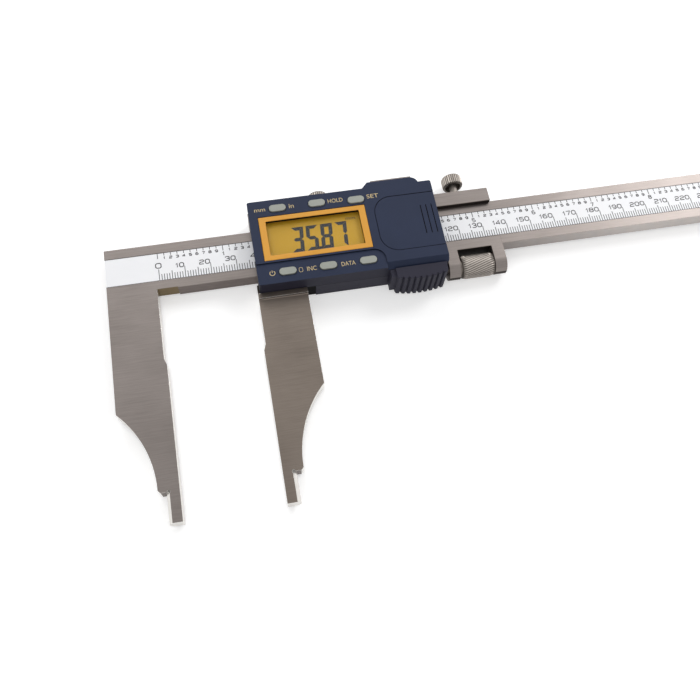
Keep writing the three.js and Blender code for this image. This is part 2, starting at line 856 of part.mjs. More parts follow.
// The grip's outer edge in plan: a bow that carries the ribs.
function gripOutline() {
  const pitch = (gripRight - gripLeft) / gripRibs;
  const middle = (gripLeft + gripRight) / 2;
  const half = (gripRight - gripLeft) / 2;
  const outline = [
    [gripLeft, gripBackY],
    [gripRight, gripBackY],
  ];
  for (let rib = gripRibs - 1; rib >= 0; rib -= 1) {
    const marks = [
      [0.95, gripRibDepth],
      [0.75, 0],
      [0.25, 0],
      [0.05, gripRibDepth],
    ];
    for (const [share, sunk] of marks) {
      const x = gripLeft + pitch * (rib + share);
      const bow = gripBow * ((x - middle) / half) ** 2;
      outline.push([x, gripBackY - gripDepth + bow + sunk]);
    }
  }
  return new THREE.Shape(outline.map(([x, y]) => new THREE.Vector2(x, y)));
}

function thumbGrip() {
  const body = slab(gripOutline(), [gripLowZ, gripHighZ]);
  const flange = block(
    [gripLeft - gripFlange, gripLeft + overlap],
    [gripBackY - gripFlangeDepth, gripBackY],
    [gripLowZ + gripFlangeInset, gripHighZ - gripFlangeInset],
  );
  const lugPocket = block(
    [lugLeft - pocketGap, gripRight + through],
    [lugBottomY - pocketGap, gripBackY + through],
    [lugLowZ - pocketGap, lugHighZ + pocketGap],
  );
  return cutBy(joined(body, flange), lugPocket);
}

// A rectangle centred on the display, as ranges.
function displayBlock(width, height, z) {
  return block(
    [bezelCentreX - width / 2, bezelCentreX + width / 2],
    [bezelCentreY - height / 2, bezelCentreY + height / 2],
    z,
  );
}

function lcdBezel() {
  const outer = displayBlock(bezelWidth, bezelHeight, [ceilingZ, coverFrontZ - fitGap]);
  const inner = displayBlock(bezelWidth - 2 * bezelRimX, bezelHeight - 2 * bezelRimY, [
    ceilingZ - through,
    coverFrontZ + through,
  ]);
  return cutBy(outer, inner);
}

function lcdWindow() {
  return displayBlock(bezelWidth - lcdMargin, bezelHeight - lcdMargin, [windowLowZ, windowHighZ]);
}

function lcdPanel() {
  return displayBlock(bezelWidth - 2 * lcdMargin, bezelHeight - 2 * lcdMargin, [lcdLowZ, lcdHighZ]);
}

function zebraStrip(side) {
  const edgeY = bezelCentreY + side * (bezelHeight / 2 - lcdMargin - zebraInset);
  const halfLength = bezelWidth / 2 - lcdMargin - zebraInset;
  return block(
    [bezelCentreX - halfLength, bezelCentreX + halfLength],
    [edgeY - zebraWidth / 2, edgeY + zebraWidth / 2],
    [onBoardZ, lcdLowZ - seatGap],
  );
}

function sensorBoard() {
  return block(
    [sensorLeft, sensorRight],
    [-sensorHeight / 2, sensorHeight / 2],
    [sensorGap, sensorGap + sensorThickness],
  );
}

// Ranges of the main board inside the cover.
function boardRanges() {
  const inset = coverWall + boardInset;
  return {
    x: [coverLeft + inset, coverRight - inset],
    y: [coverBottomY + inset, coverTopY - inset],
  };
}

function mainBoard() {
  const { x, y } = boardRanges();
  const board = block(x, y, [boardLowZ, boardHighZ]);
  const holes = screwSpots.map(([hx, hy]) =>
    cylinder("z", screwRadius + seatGap, [boardLowZ - through, boardHighZ + through], {
      x: hx,
      y: hy,
    }, 16),
  );
  return cutBy(board, ...holes);
}

function boardGasket() {
  const { x, y } = boardRanges();
  const z = [railTopZ + seatGap, boardLowZ - seatGap];
  const outer = block(x, [y[0], y[1]], z);
  const inner = block(
    [x[0] + gasketWidth, x[1] - gasketWidth],
    [y[0] + gasketWidth, y[1] - gasketWidth],
    [z[0] - through, z[1] + through],
  );
  const reliefs = screwSpots.map(([hx, hy]) =>
    cylinder("z", screwRadius + seatGap, [z[0] - through, z[1] + through], { x: hx, y: hy }, 16),
  );
  return cutBy(outer, inner, ...reliefs);
}

function processorChip() {
  const low = [bezelCentreX - chipSize / 2, bezelCentreY - chipSize / 2];
  return block(
    [low[0], low[0] + chipSize],
    [low[1], low[1] + chipSize],
    [onBoardZ, onBoardZ + chipHeight],
  );
}

function button(x, y, surfaceZ) {
  const cap = slab(stadium(x, y, buttonLength, buttonWidth), [flangeLowZ, surfaceZ + buttonProud], 6);
  const flange = slab(stadium(x, y, buttonLength, buttonWidth, flangeRim), [flangeLowZ, flangeHighZ], 6);
  return joined(cap, flange);
}

function keypadMat(y, spots) {
  const reach = buttonLength / 2 + 0.8;
  const mat = block(
    [buttonXs[0] - reach, buttonXs.at(-1) + reach],
    [y - matRim, y + matRim],
    [onBoardZ, onBoardZ + matThickness],
  );
  const domes = spots.map(([x, domeY]) =>
    cylinder("z", domeRadius, [onBoardZ, domeHighZ], { x, y: domeY }, 16),
  );
  return joined(mat, ...domes);
}

function batteryDoor() {
  const plate = slab(doorShape(doorLeft, coverRight - fitGap, 0), [doorLowZ, doorHighZ]);
  const grooves = doorGrooveXs.map((x) =>
    block(
      [x - doorGrooveWidth / 2, x + doorGrooveWidth / 2],
      [doorCentreY - doorGrooveLength / 2, doorCentreY + doorGrooveLength / 2],
      [doorHighZ - doorGrooveDepth, doorHighZ + through],
    ),
  );
  return cutBy(joined(plate, doorRails(0)), ...grooves);
}

function batteryHolder() {
  const centre = { x: cellX, y: doorCentreY };
  const cup = cylinder("z", holderOuter, [onBoardZ, holderHighZ], centre, 40);
  const well = cylinder("z", holderInner, [onBoardZ + holderFloor, holderHighZ + through], centre, 40);
  const notch = block(
    [cellX - holderOuter - through, cellX - cellRadius + fitGap],
    [doorCentreY - contactWidth / 2 - seatGap, doorCentreY + contactWidth / 2 + seatGap],
    [onBoardZ + holderFloor, holderHighZ + through],
  );
  return cutBy(cup, well, notch);
}

function coinCell() {
  const centre = { x: cellX, y: doorCentreY };
  const rim = 0.5;
  return joined(
    cylinder("z", cellRadius - rim, [cellLowZ, cellLowZ + rim], centre, 40),
    cylinder("z", cellRadius, [cellLowZ + rim, cellHighZ], centre, 40),
  );
}

function cellSpring() {
  return block(
    [cellX - cellRadius / 2, cellX + cellRadius / 2],
    [doorCentreY - contactWidth / 2, doorCentreY + contactWidth / 2],
    [contactLowZ, contactLowZ + contactThickness],
  );
}

// A strip standing in the holder's notch, against the cell's side.
function cellSideContact() {
  const middle = cellX - (holderInner + holderOuter) / 2;
  return block(
    [middle - contactThickness, middle + contactThickness],
    [doorCentreY - contactWidth / 2, doorCentreY + contactWidth / 2],
    [contactLowZ, cellHighZ - through],
  );
}

function batterySeal() {
  const centre = { x: cellX, y: doorCentreY };
  const ring = cylinder("z", holderOuter, [sealLowZ, sealHighZ], centre, 40);
  const hole = cylinder("z", cellRadius + seatGap, [sealLowZ - through, sealHighZ + through], centre, 40);
  return cutBy(ring, hole);
}

function dataConnector() {
  const highY = coverHumpY - coverWall - seatGap;
  const body = block(
    [portX - connectorLength / 2, portX + connectorLength / 2],
    [highY - connectorDepth, highY],
    [onBoardZ, onBoardZ + connectorHeight],
  );
  const socket = block(
    [portX - portLength / 2 + pocketGap, portX + portLength / 2 - pocketGap],
    [highY - connectorDepth / 2, highY + through],
    [portZ - portHeight / 2 + pocketGap, portZ + portHeight / 2 - pocketGap],
  );
  return cutBy(body, socket);
}

function portScrewXs() {
  return [portX - portScrewSpacing / 2, portX + portScrewSpacing / 2];
}

function portPlate() {
  const lowY = coverHumpY + seatGap;
  const plate = block(
    [portX - portPlateLength / 2, portX + portPlateLength / 2],
    [lowY, lowY + portPlateThickness],
    [portPlateLowZ, portPlateHighZ],
  );
  const holes = portScrewXs().map((x) =>
    cylinder("y", portScrewRadius + fitGap, [lowY - through, lowY + 2 * through], { x, z: portZ }, 12),
  );
  return cutBy(plate, ...holes);
}

function portScrew(x) {
  const headLowY = coverHumpY + seatGap + portPlateThickness + seatGap;
  const centre = { x, z: portZ };
  const head = cylinder("y", portHeadRadius, [headLowY, headLowY + portHeadHeight], centre, 16);
  const shank = cylinder("y", portScrewRadius, [headLowY - portScrewLength, headLowY + 0.3], centre, 12);
  return joined(head, shank);
}

function housingScrew(x, y) {
  const lowZ = frameBackZ + screwHeadSunk;
  const head = cylinder("z", screwHeadRadius, [lowZ, lowZ + screwHeadHeight], { x, y });
  const shank = cylinder("z", screwRadius, [lowZ + screwHeadHeight / 2, screwTopZ], { x, y }, 16);
  const slots = [0.25, 1].map((reach, turn) =>
    block(
      [x - (turn ? 0.25 : 1.2), x + (turn ? 0.25 : 1.2)],
      [y - (turn ? 1.2 : 0.25), y + (turn ? 1.2 : 0.25)],
      [lowZ - reach, lowZ + 0.4],
    ),
  );
  return cutBy(joined(head, shank), ...slots);
}

function adjustRod() {
  return cylinder("x", adjustRodRadius, [lugLeft + through + fitGap, adjustRodRight], {
    y: adjustAxisY,
    z: adjustAxisZ,
  }, 20);
}

// One leg of the fork: a block with a half-round end about the nut's axis.
function forkLeg(x) {
  const leg = block(x, [adjustAxisY, windowTopY + overlap], [carriageLowZ, carriageHighZ]);
  const end = cylinder("x", legRadius, x, { y: adjustAxisY, z: adjustAxisZ }, 32);
  return joined(leg, end);
}

function carriageFrame() {
  const x = [carriageLeft, carriageRight];
  const body = block(x, [windowTopY, carriageTopY], [carriageLowZ, carriageHighZ]);
  const beamSlot = block(
    [carriageLeft - through, carriageRight + through],
    [beamBottom - slideGap, beamTop + slideGap],
    [beamBackZ - slideGap, slideGap],
  );
  const scaleOpening = block(
    [carriageLeft - through, carriageRight + through],
    [beamBottom + lowerLip, beamTop - upperLip],
    [0, carriageHighZ + through],
  );
  const shoePocket = block(
    [clampX - shoeLength / 2 - seatGap, clampX + shoeLength / 2 + seatGap],
    [beamTop, shoeHighY + 2 * slideGap],
    [screwAxisZ - shoeHeight / 2 - seatGap, screwAxisZ + shoeHeight / 2 + seatGap],
  );
  const clampHole = cylinder("y", shankRadius + fitGap, [beamTop, carriageTopY + through], {
    x: clampX,
    z: screwAxisZ,
  });
  const rodBore = cylinder(
    "x",
    adjustRodRadius + slideGap,
    [carriageLeft - through, carriageRight + through],
    { y: adjustAxisY, z: adjustAxisZ },
  );
  const fork = joined(
    body,
    forkLeg([carriageLeft, windowLeft]),
    forkLeg([windowRight, carriageRight]),
  );
  return cutBy(fork, beamSlot, scaleOpening, shoePocket, clampHole, rodBore);
}

function adjustNut() {
  const centre = { y: adjustAxisY, z: adjustAxisZ };
  const small = nutRadius - nutChamfer;
  const body = joined(
    cylinder("x", nutCollarRadius, [nutLeft - nutCollar, nutLeft + overlap], centre, 32),
    cylinder("x", small, [nutLeft, nutLeft + nutChamfer], centre, 40, nutRadius),
    cylinder("x", nutRadius, [nutLeft + nutChamfer, nutRight - nutChamfer], centre, 40),
    cylinder("x", nutRadius, [nutRight - nutChamfer, nutRight], centre, 40, small),
  );
  const bore = cylinder(
    "x",
    adjustRodRadius + fitGap,
    [nutLeft - nutCollar - through, nutRight + through],
    centre,
    20,
  );
  return cutBy(body, bore);
}

function clampShoe() {
  return block(
    [clampX - shoeLength / 2, clampX + shoeLength / 2],
    [shoeLowY, shoeHighY],
    [screwAxisZ - shoeHeight / 2, screwAxisZ + shoeHeight / 2],
  );
}

function buildBeam() {
  const group = new THREE.Group();
  addPiece(group, "main_beam", mainBeam(), finishes.brushedSteel);
  addPiece(group, "scale_strip", scaleStrip(), finishes.scaleWhite);
  addPiece(group, "end_stop_plate", endPlate(), finishes.brushedSteel);
  endScrewYs().forEach((y, index) => {
    addPiece(group, `end_stop_screw_${index + 1}`, endScrew(y), finishes.screwSteel);
  });
  return group;
}

function buildHousing(group) {
  addPiece(group, "front_cover", frontCover(), finishes.housingNavy);
  addPiece(group, "base_shell", baseShell(), finishes.housingNavy);
  addPiece(group, "thumb_grip", thumbGrip(), finishes.housingNavy);
  addPiece(group, "battery_cover", batteryDoor(), finishes.housingNavy);
  addPiece(group, "data_port_cover", portPlate(), finishes.brushedSteel);
  portScrewXs().forEach((x, index) => {
    addPiece(group, `data_cover_screw_${index + 1}`, portScrew(x), finishes.screwSteel);
  });
  screwSpots.forEach(([x, y], index) => {
    addPiece(group, `housing_screw_${index + 1}`, housingScrew(x, y), finishes.screwSteel);
  });
}

function buildDisplay(group) {
  addPiece(group, "lcd_bezel", lcdBezel(), finishes.bezelAmber);
  addPiece(group, "lcd_window", lcdWindow(), finishes.clearLens);
  addPiece(group, "lcd_panel", lcdPanel(), finishes.lcdOlive);
  addPiece(group, "zebra_strip_upper", zebraStrip(1), finishes.darkRubber);
  addPiece(group, "zebra_strip_lower", zebraStrip(-1), finishes.darkRubber);
}

function buildElectronics(group) {
  addPiece(group, "sensor_board", sensorBoard(), finishes.boardGreen);
  addPiece(group, "main_board", mainBoard(), finishes.boardGreen);
  addPiece(group, "board_gasket", boardGasket(), finishes.darkRubber);
  addPiece(group, "processor_chip", processorChip(), finishes.chipBlack);
  addPiece(group, "data_connector", dataConnector(), finishes.chipBlack);
  addPiece(group, "battery_holder", batteryHolder(), finishes.chipBlack);
  addPiece(group, "coin_cell", coinCell(), finishes.nickel);
  addPiece(group, "cell_spring", cellSpring(), finishes.nickel);
  addPiece(group, "cell_side_contact", cellSideContact(), finishes.nickel);
  addPiece(group, "battery_seal", batterySeal(), finishes.darkRubber);
}

function buildButtons(group) {
  const upperNames = ["unit", "hold", "set"];
  const lowerNames = ["power_zero", "increment", "data"];
  upperNames.forEach((name, i) => {
    addPiece(group, `button_${name}`, button(...upperButtonSpots[i], coverFrontZ), finishes.buttonGrey);
  });
  lowerNames.forEach((name, i) => {
    addPiece(group, `button_${name}`, button(...lowerButtonSpots[i], panelZ), finishes.buttonGrey);
  });
  addPiece(group, "keypad_upper", keypadMat(upperButtonY, upperButtonSpots), finishes.darkRubber);
  addPiece(group, "keypad_lower", keypadMat(lowerButtonY, lowerButtonSpots), finishes.darkRubber);
}

function buildSlider() {
  const group = new THREE.Group();
  addPiece(group, "slider_frame", sliderFrame(), finishes.brushedSteel);
  addPiece(group, "gib_strip", gibStrip(), finishes.brass);
  gibScrewXs.forEach((x, index) => {
    addPiece(group, `gib_set_screw_${index + 1}`, gibScrew(x), finishes.screwSteel);
  });
  addPiece(group, "lock_pad", lockPad(), finishes.brass);
  const lockScrew = thumbScrew(lockX, lockKnobY, knobLength, padHighY + seatGap);
  addPiece(group, "lock_screw", lockScrew, finishes.screwSteel);
  addPiece(group, "adjust_rod", adjustRod(), finishes.screwSteel);
  buildHousing(group);
  buildDisplay(group);
  buildElectronics(group);
  buildButtons(group);
  return group;
}

function buildCarriage() {
  const group = new THREE.Group();
  addPiece(group, "carriage_frame", carriageFrame(), finishes.brushedSteel);
  addPiece(group, "adjust_nut", adjustNut(), finishes.screwSteel);
  addPiece(group, "clamp_shoe", clampShoe(), finishes.brass);
  const clampScrew = thumbScrew(clampX, clampKnobY, clampKnobLength, shoeHighY + seatGap);
  addPiece(group, "clamp_screw", clampScrew, finishes.screwSteel);
  return group;
}

const caliper = new THREE.Group();
const slider = buildSlider();
slider.position.x = reading;
slider.add(buildCarriage());
caliper.add(buildBeam(), slider);
caliper.position.set(-(boxLeft + boxRight) / 2, -(boxBottomY + boxTopY) / 2, -frameBackZ);

const part = new THREE.Group();
part.add(caliper);

export default part;
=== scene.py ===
import json
import math

import bmesh
import bpy
from mathutils import Matrix, Vector

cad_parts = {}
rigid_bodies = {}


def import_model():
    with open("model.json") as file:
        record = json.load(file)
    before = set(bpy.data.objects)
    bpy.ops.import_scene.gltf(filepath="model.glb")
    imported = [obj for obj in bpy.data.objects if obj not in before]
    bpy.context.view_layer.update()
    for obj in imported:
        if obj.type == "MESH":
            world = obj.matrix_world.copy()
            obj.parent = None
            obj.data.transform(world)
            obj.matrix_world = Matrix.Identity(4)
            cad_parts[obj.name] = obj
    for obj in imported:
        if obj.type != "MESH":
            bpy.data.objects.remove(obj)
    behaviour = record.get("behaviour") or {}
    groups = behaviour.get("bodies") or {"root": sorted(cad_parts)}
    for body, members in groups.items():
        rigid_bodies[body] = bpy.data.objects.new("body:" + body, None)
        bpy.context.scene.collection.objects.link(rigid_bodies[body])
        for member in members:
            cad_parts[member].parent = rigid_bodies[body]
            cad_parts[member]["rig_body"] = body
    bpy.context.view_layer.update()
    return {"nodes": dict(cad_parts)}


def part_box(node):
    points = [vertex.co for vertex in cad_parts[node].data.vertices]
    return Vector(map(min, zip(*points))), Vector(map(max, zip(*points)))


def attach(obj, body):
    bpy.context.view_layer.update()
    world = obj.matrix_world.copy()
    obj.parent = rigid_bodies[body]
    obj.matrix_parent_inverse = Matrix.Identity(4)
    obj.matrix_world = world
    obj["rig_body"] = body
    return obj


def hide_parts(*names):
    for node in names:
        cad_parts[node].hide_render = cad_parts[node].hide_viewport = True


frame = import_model()
nodes = frame["nodes"]
mm = 0.001

# two working origins: the fixed jaw's face and the moving jaw's face, on the beam's
# centre line and front plane
beamLow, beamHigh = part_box("main_beam")
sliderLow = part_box("slider_frame")[0]
beamSizes = {"halfHeight": 10 * mm, "jawWidth": 19.8 * mm}
centreY = beamHigh.y - beamSizes["halfHeight"]
frontZ = beamHigh.z
fixedFace = Vector((beamLow.x + beamSizes["jawWidth"], centreY, frontZ))
movingFace = Vector((sliderLow.x, centreY, frontZ))

# camera next: everything else is judged from here
cameraSetup = {
    "place": (33.71, -156.88, 275.21),  # millimetres from the fixed jaw's face
    "turn": (22.65775, -2.80247, -10.31557),  # degrees about X, Y and Z
    "lens": 40.92,
    "sensor": 36.0,
}
cameraData = bpy.data.cameras.new("benchCamera")
cameraData.lens = cameraSetup["lens"]
cameraData.sensor_width = cameraSetup["sensor"]
cameraData.clip_start = 0.01
camera = bpy.data.objects.new("benchCamera", cameraData)
camera.location = fixedFace + Vector(cameraSetup["place"]) * mm
camera.rotation_euler = [math.radians(a) for a in cameraSetup["turn"]]
bpy.context.scene.collection.objects.link(camera)
bpy.context.scene.camera = camera
print("camera placed")


class Value:
    # a node's output, so that shader maths reads as ordinary arithmetic
    def __init__(self, finish, socket):
        self.finish = finish
        self.socket = socket

    def maths(self, operation, *values):
        inputs = {index: value for index, value in enumerate(values)}
        return self.finish.node("ShaderNodeMath", {"operation": operation}, inputs)

    def __add__(self, other):
        return self.maths("ADD", self, other)

    def __radd__(self, other):
        return self.maths("ADD", other, self)

    def __sub__(self, other):
        return self.maths("SUBTRACT", self, other)

    def __rsub__(self, other):
        return self.maths("SUBTRACT", other, self)

    def __mul__(self, other):
        return self.maths("MULTIPLY", self, other)

    def __rmul__(self, other):
        return self.maths("MULTIPLY", other, self)

    def __truediv__(self, other):
        return self.maths("DIVIDE", self, other)

    def over(self, edge):
        return self.maths("GREATER_THAN", self, edge)

    def clamped(self):
        return self.maths("MINIMUM", self.maths("MAXIMUM", self, 0.0), 1.0)


class Finish:
    # one material and its nodes
    def __init__(self, name):
        self.material = bpy.data.materials.new(name)
        self.material.use_nodes = True
        self.tree = self.material.node_tree
        self.tree.nodes.clear()

    def node(self, kind, settings=None, inputs=None, output=0):
        made = self.tree.nodes.new(kind)
        for key, value in (settings or {}).items():
            if key == "stops":
                self.setStops(made.color_ramp, value)
            else:
                setattr(made, key, value)
        for key, value in (inputs or {}).items():
            if isinstance(value, Value):
                self.tree.links.new(value.socket, made.inputs[key])
            else:
                made.inputs[key].default_value = value
        return Value(self, made.outputs[output]) if made.outputs else None

    def setStops(self, ramp, stops):
        while len(ramp.elements) < len(stops):
            ramp.elements.new(0.5)
        for element, (place, shade) in zip(ramp.elements, stops):
            element.position = place
            element.color = (shade, shade, shade, 1)

    def objectPlace(self, stretch=(1, 1, 1)):
        place = self.node("ShaderNodeTexCoord", output=3)
        return self.node("ShaderNodeMapping", {}, {"Vector": place, "Scale": stretch})

    def noise(self, place, scale, detail=2.0, roughness=0.5):
        inputs = {"Vector": place, "Scale": scale, "Detail": detail, "Roughness": roughness}
        return self.node("ShaderNodeTexNoise", {}, inputs)

    def ramp(self, factor, stops):
        return self.node("ShaderNodeValToRGB", {"stops": stops}, {"Fac": factor})

    def blend(self, factor, first, second):
        inputs = {0: factor, 6: first, 7: second}
        return self.node("ShaderNodeMix", {"data_type": "RGBA"}, inputs, output=2)

    def bump(self, height, strength, distance):
        inputs = {"Height": height, "Strength": strength, "Distance": distance}
        return self.node("ShaderNodeBump", {}, inputs)

    def surface(self, inputs):
        shader = self.node("ShaderNodeBsdfPrincipled", {}, inputs)
        self.node("ShaderNodeOutputMaterial", {}, {"Surface": shader})
        return self.material


def rgb(red, green, blue):
    # written as screen values from 0 to 255, kept as linear light
    def linear(level):
        share = level / 255
        return share / 12.92 if share <= 0.04045 else ((share + 0.055) / 1.055) ** 2.4

    return (linear(red), linear(green), linear(blue), 1.0)


steelMix = {
    "streaks": 0.45, "cloud": 0.35, "fine": 0.35, "shift": 0.08, "cloudScale": 55.0,
    "finer": 4, "sheen": 0.14, "bump": 0.35, "depth": 0.000004,
}


def steelFinish(name, dark, light, roughness, stretch, reflectionAlongX=None):
    # long fine streaks along the grinding direction, over slow cloudy changes of tone
    mix = steelMix
    finish = Finish(name)
    streaks = finish.noise(finish.objectPlace(stretch), 1.0, 4.0, 0.65)
    cloud = finish.noise(finish.objectPlace(), mix["cloudScale"], 2.0)
    finePlace = finish.objectPlace([mix["finer"] * share for share in stretch])
    fine = finish.noise(finePlace, 1.0, 2.0, 0.5)
    tone = streaks * mix["streaks"] + cloud * mix["cloud"] + fine * mix["fine"]
    tone = (tone - mix["shift"]).clamped()
    colour = finish.blend(tone, dark, light)
    if reflectionAlongX:
        # painted reflection: brighter from one place along X to another
        along = finish.node("ShaderNodeSeparateXYZ", {}, {0: finish.objectPlace()})
        share = ((along - reflectionAlongX["start"]) / (reflectionAlongX["end"] - reflectionAlongX["start"])).clamped()
        colour = finish.blend(share * (0.7 + fine * 0.4), colour, reflectionAlongX["tone"])
    return finish.surface({
        "Base Color": colour,
        "Metallic": 1.0,
        "Roughness": roughness - 0.06 + streaks * mix["sheen"],
        "Normal": finish.bump(streaks, mix["bump"], mix["depth"]),
    })


knurlMix = {
    "crest": 0.85, "inside": 0.45, "grime": 0.35, "shift": 0.1, "core": 0.94,
    "grimeScale": 900.0, "depth": 0.00001,
}


def knurlFinish(name, dark, light, axis, centre, deep, proud):
    # painted highlight on the crests and painted shade in the grooves, under random grime:
    # tone follows the distance from the axis, and what lies inside the core, such as a bore
    # or a dish, is lighter again
    mix = knurlMix
    finish = Finish(name)
    offset = [-share for share in centre]
    offset[axis] = 0.0
    scale = [1.0, 1.0, 1.0]
    scale[axis] = 0.0
    place = finish.node("ShaderNodeTexCoord", output=3)
    moved = finish.node("ShaderNodeVectorMath", {"operation": "ADD"}, {0: place, 1: offset})
    flat = finish.node("ShaderNodeVectorMath", {"operation": "MULTIPLY"}, {0: moved, 1: scale})
    reach = finish.node("ShaderNodeVectorMath", {"operation": "LENGTH"}, {0: flat}, output=1)
    grime = finish.noise(place, mix["grimeScale"], 3.0, 0.6)
    height = ((reach - deep) / (proud - deep)).clamped()
    inside = 1.0 - reach.over(deep * mix["core"])
    tone = height * mix["crest"] + inside * mix["inside"] + grime * mix["grime"]
    tone = (tone - mix["shift"]).clamped()
    return finish.surface({
        "Base Color": finish.blend(tone, dark, light),
        "Metallic": 1.0,
        "Roughness": 0.5 - height * 0.2 + grime * 0.08,
        "Normal": finish.bump(grime, 0.3, mix["depth"]),
    })


mouldedMix = {"wear": 0.7, "grain": 0.3, "wearScale": 70.0, "sheen": 0.12, "bump": 0.5}


def mouldedFinish(name, dark, light, roughness, grainScale, bumpHeight, gloss=0.5):
    # moulded plastic or rubber: a fine spark-eroded grain and a slightly uneven sheen
    mix = mouldedMix
    finish = Finish(name)
    place = finish.objectPlace()
    grain = finish.noise(place, grainScale, 3.0, 0.6)
    wear = finish.noise(place, mix["wearScale"], 3.0)
    tone = (wear * mix["wear"] + grain * mix["grain"]).clamped()
    return finish.surface({
        "Base Color": finish.blend(tone, dark, light),
        "Roughness": roughness - 0.05 + wear * mix["sheen"],
        "Normal": finish.bump(grain, mix["bump"], bumpHeight),
        "Specular IOR Level": gloss,
    })


def printedFinish(name, colour, roughness=0.5):
    # ink or paint: almost even, a touch thinner in places
    finish = Finish(name)
    place = finish.objectPlace()
    mottle = finish.noise(place, 900.0, 2.0)
    faded = tuple(min(1.0, c * 1.18 + 0.012) for c in colour[:3]) + (1.0,)
    return finish.surface({
        "Base Color": finish.blend(mottle, colour, faded),
        "Roughness": roughness + mottle * 0.1,
    })


def boardFinish(name):
    # solder mask with tracks showing through and rows of small pads
    finish = Finish(name)
    place = finish.objectPlace()
    tracks = finish.node(
        "ShaderNodeTexWave",
        {"wave_type": "BANDS", "bands_direction": "DIAGONAL"},
        {"Vector": place, "Scale": 160.0, "Distortion": 5.0, "Detail": 1.0},
    )
    lines = finish.ramp(tracks, [(0.45, 0.0), (0.55, 1.0)])
    mask = finish.blend(lines, rgb(20, 78, 48), rgb(34, 104, 66))
    cells = finish.node(
        "ShaderNodeTexVoronoi",
        {"feature": "F1"},
        {"Vector": place, "Scale": 420.0, "Randomness": 0.25},
    )
    pads = 1.0 - cells.over(0.28)
    colour = finish.blend(pads * 0.8, mask, rgb(196, 178, 120))
    return finish.surface({
        "Base Color": colour,
        "Roughness": 0.42 + tracks * 0.08,
        "Normal": finish.bump(tracks, 0.3, 0.00002),
    })


def displayFinish(name):
    # the reflective back of the display: even olive gold with a very fine grain
    finish = Finish(name)
    place = finish.objectPlace()
    grain = finish.noise(place, 2600.0, 2.0)
    shade = finish.noise(place, 40.0, 1.0)
    tone = (grain * 0.5 + shade * 0.5).clamped()
    return finish.surface({
        "Base Color": finish.blend(tone, rgb(206, 160, 34), rgb(226, 177, 43)),
        "Roughness": 0.4 + grain * 0.1,
    })


def lensFinish(name):
    # a thin clear window: mostly open, with faint smears that change its sheen
    finish = Finish(name)
    smear = finish.noise(finish.objectPlace(), 60.0, 3.0)
    return finish.surface({
        "Base Color": (0.03, 0.03, 0.02, 1.0),
        "Roughness": 0.04 + smear * 0.06,
        "Alpha": 0.04 + smear * 0.03,
    })


longGrain, shortGrain = (45, 3000, 3000), (45, 1700, 1700)
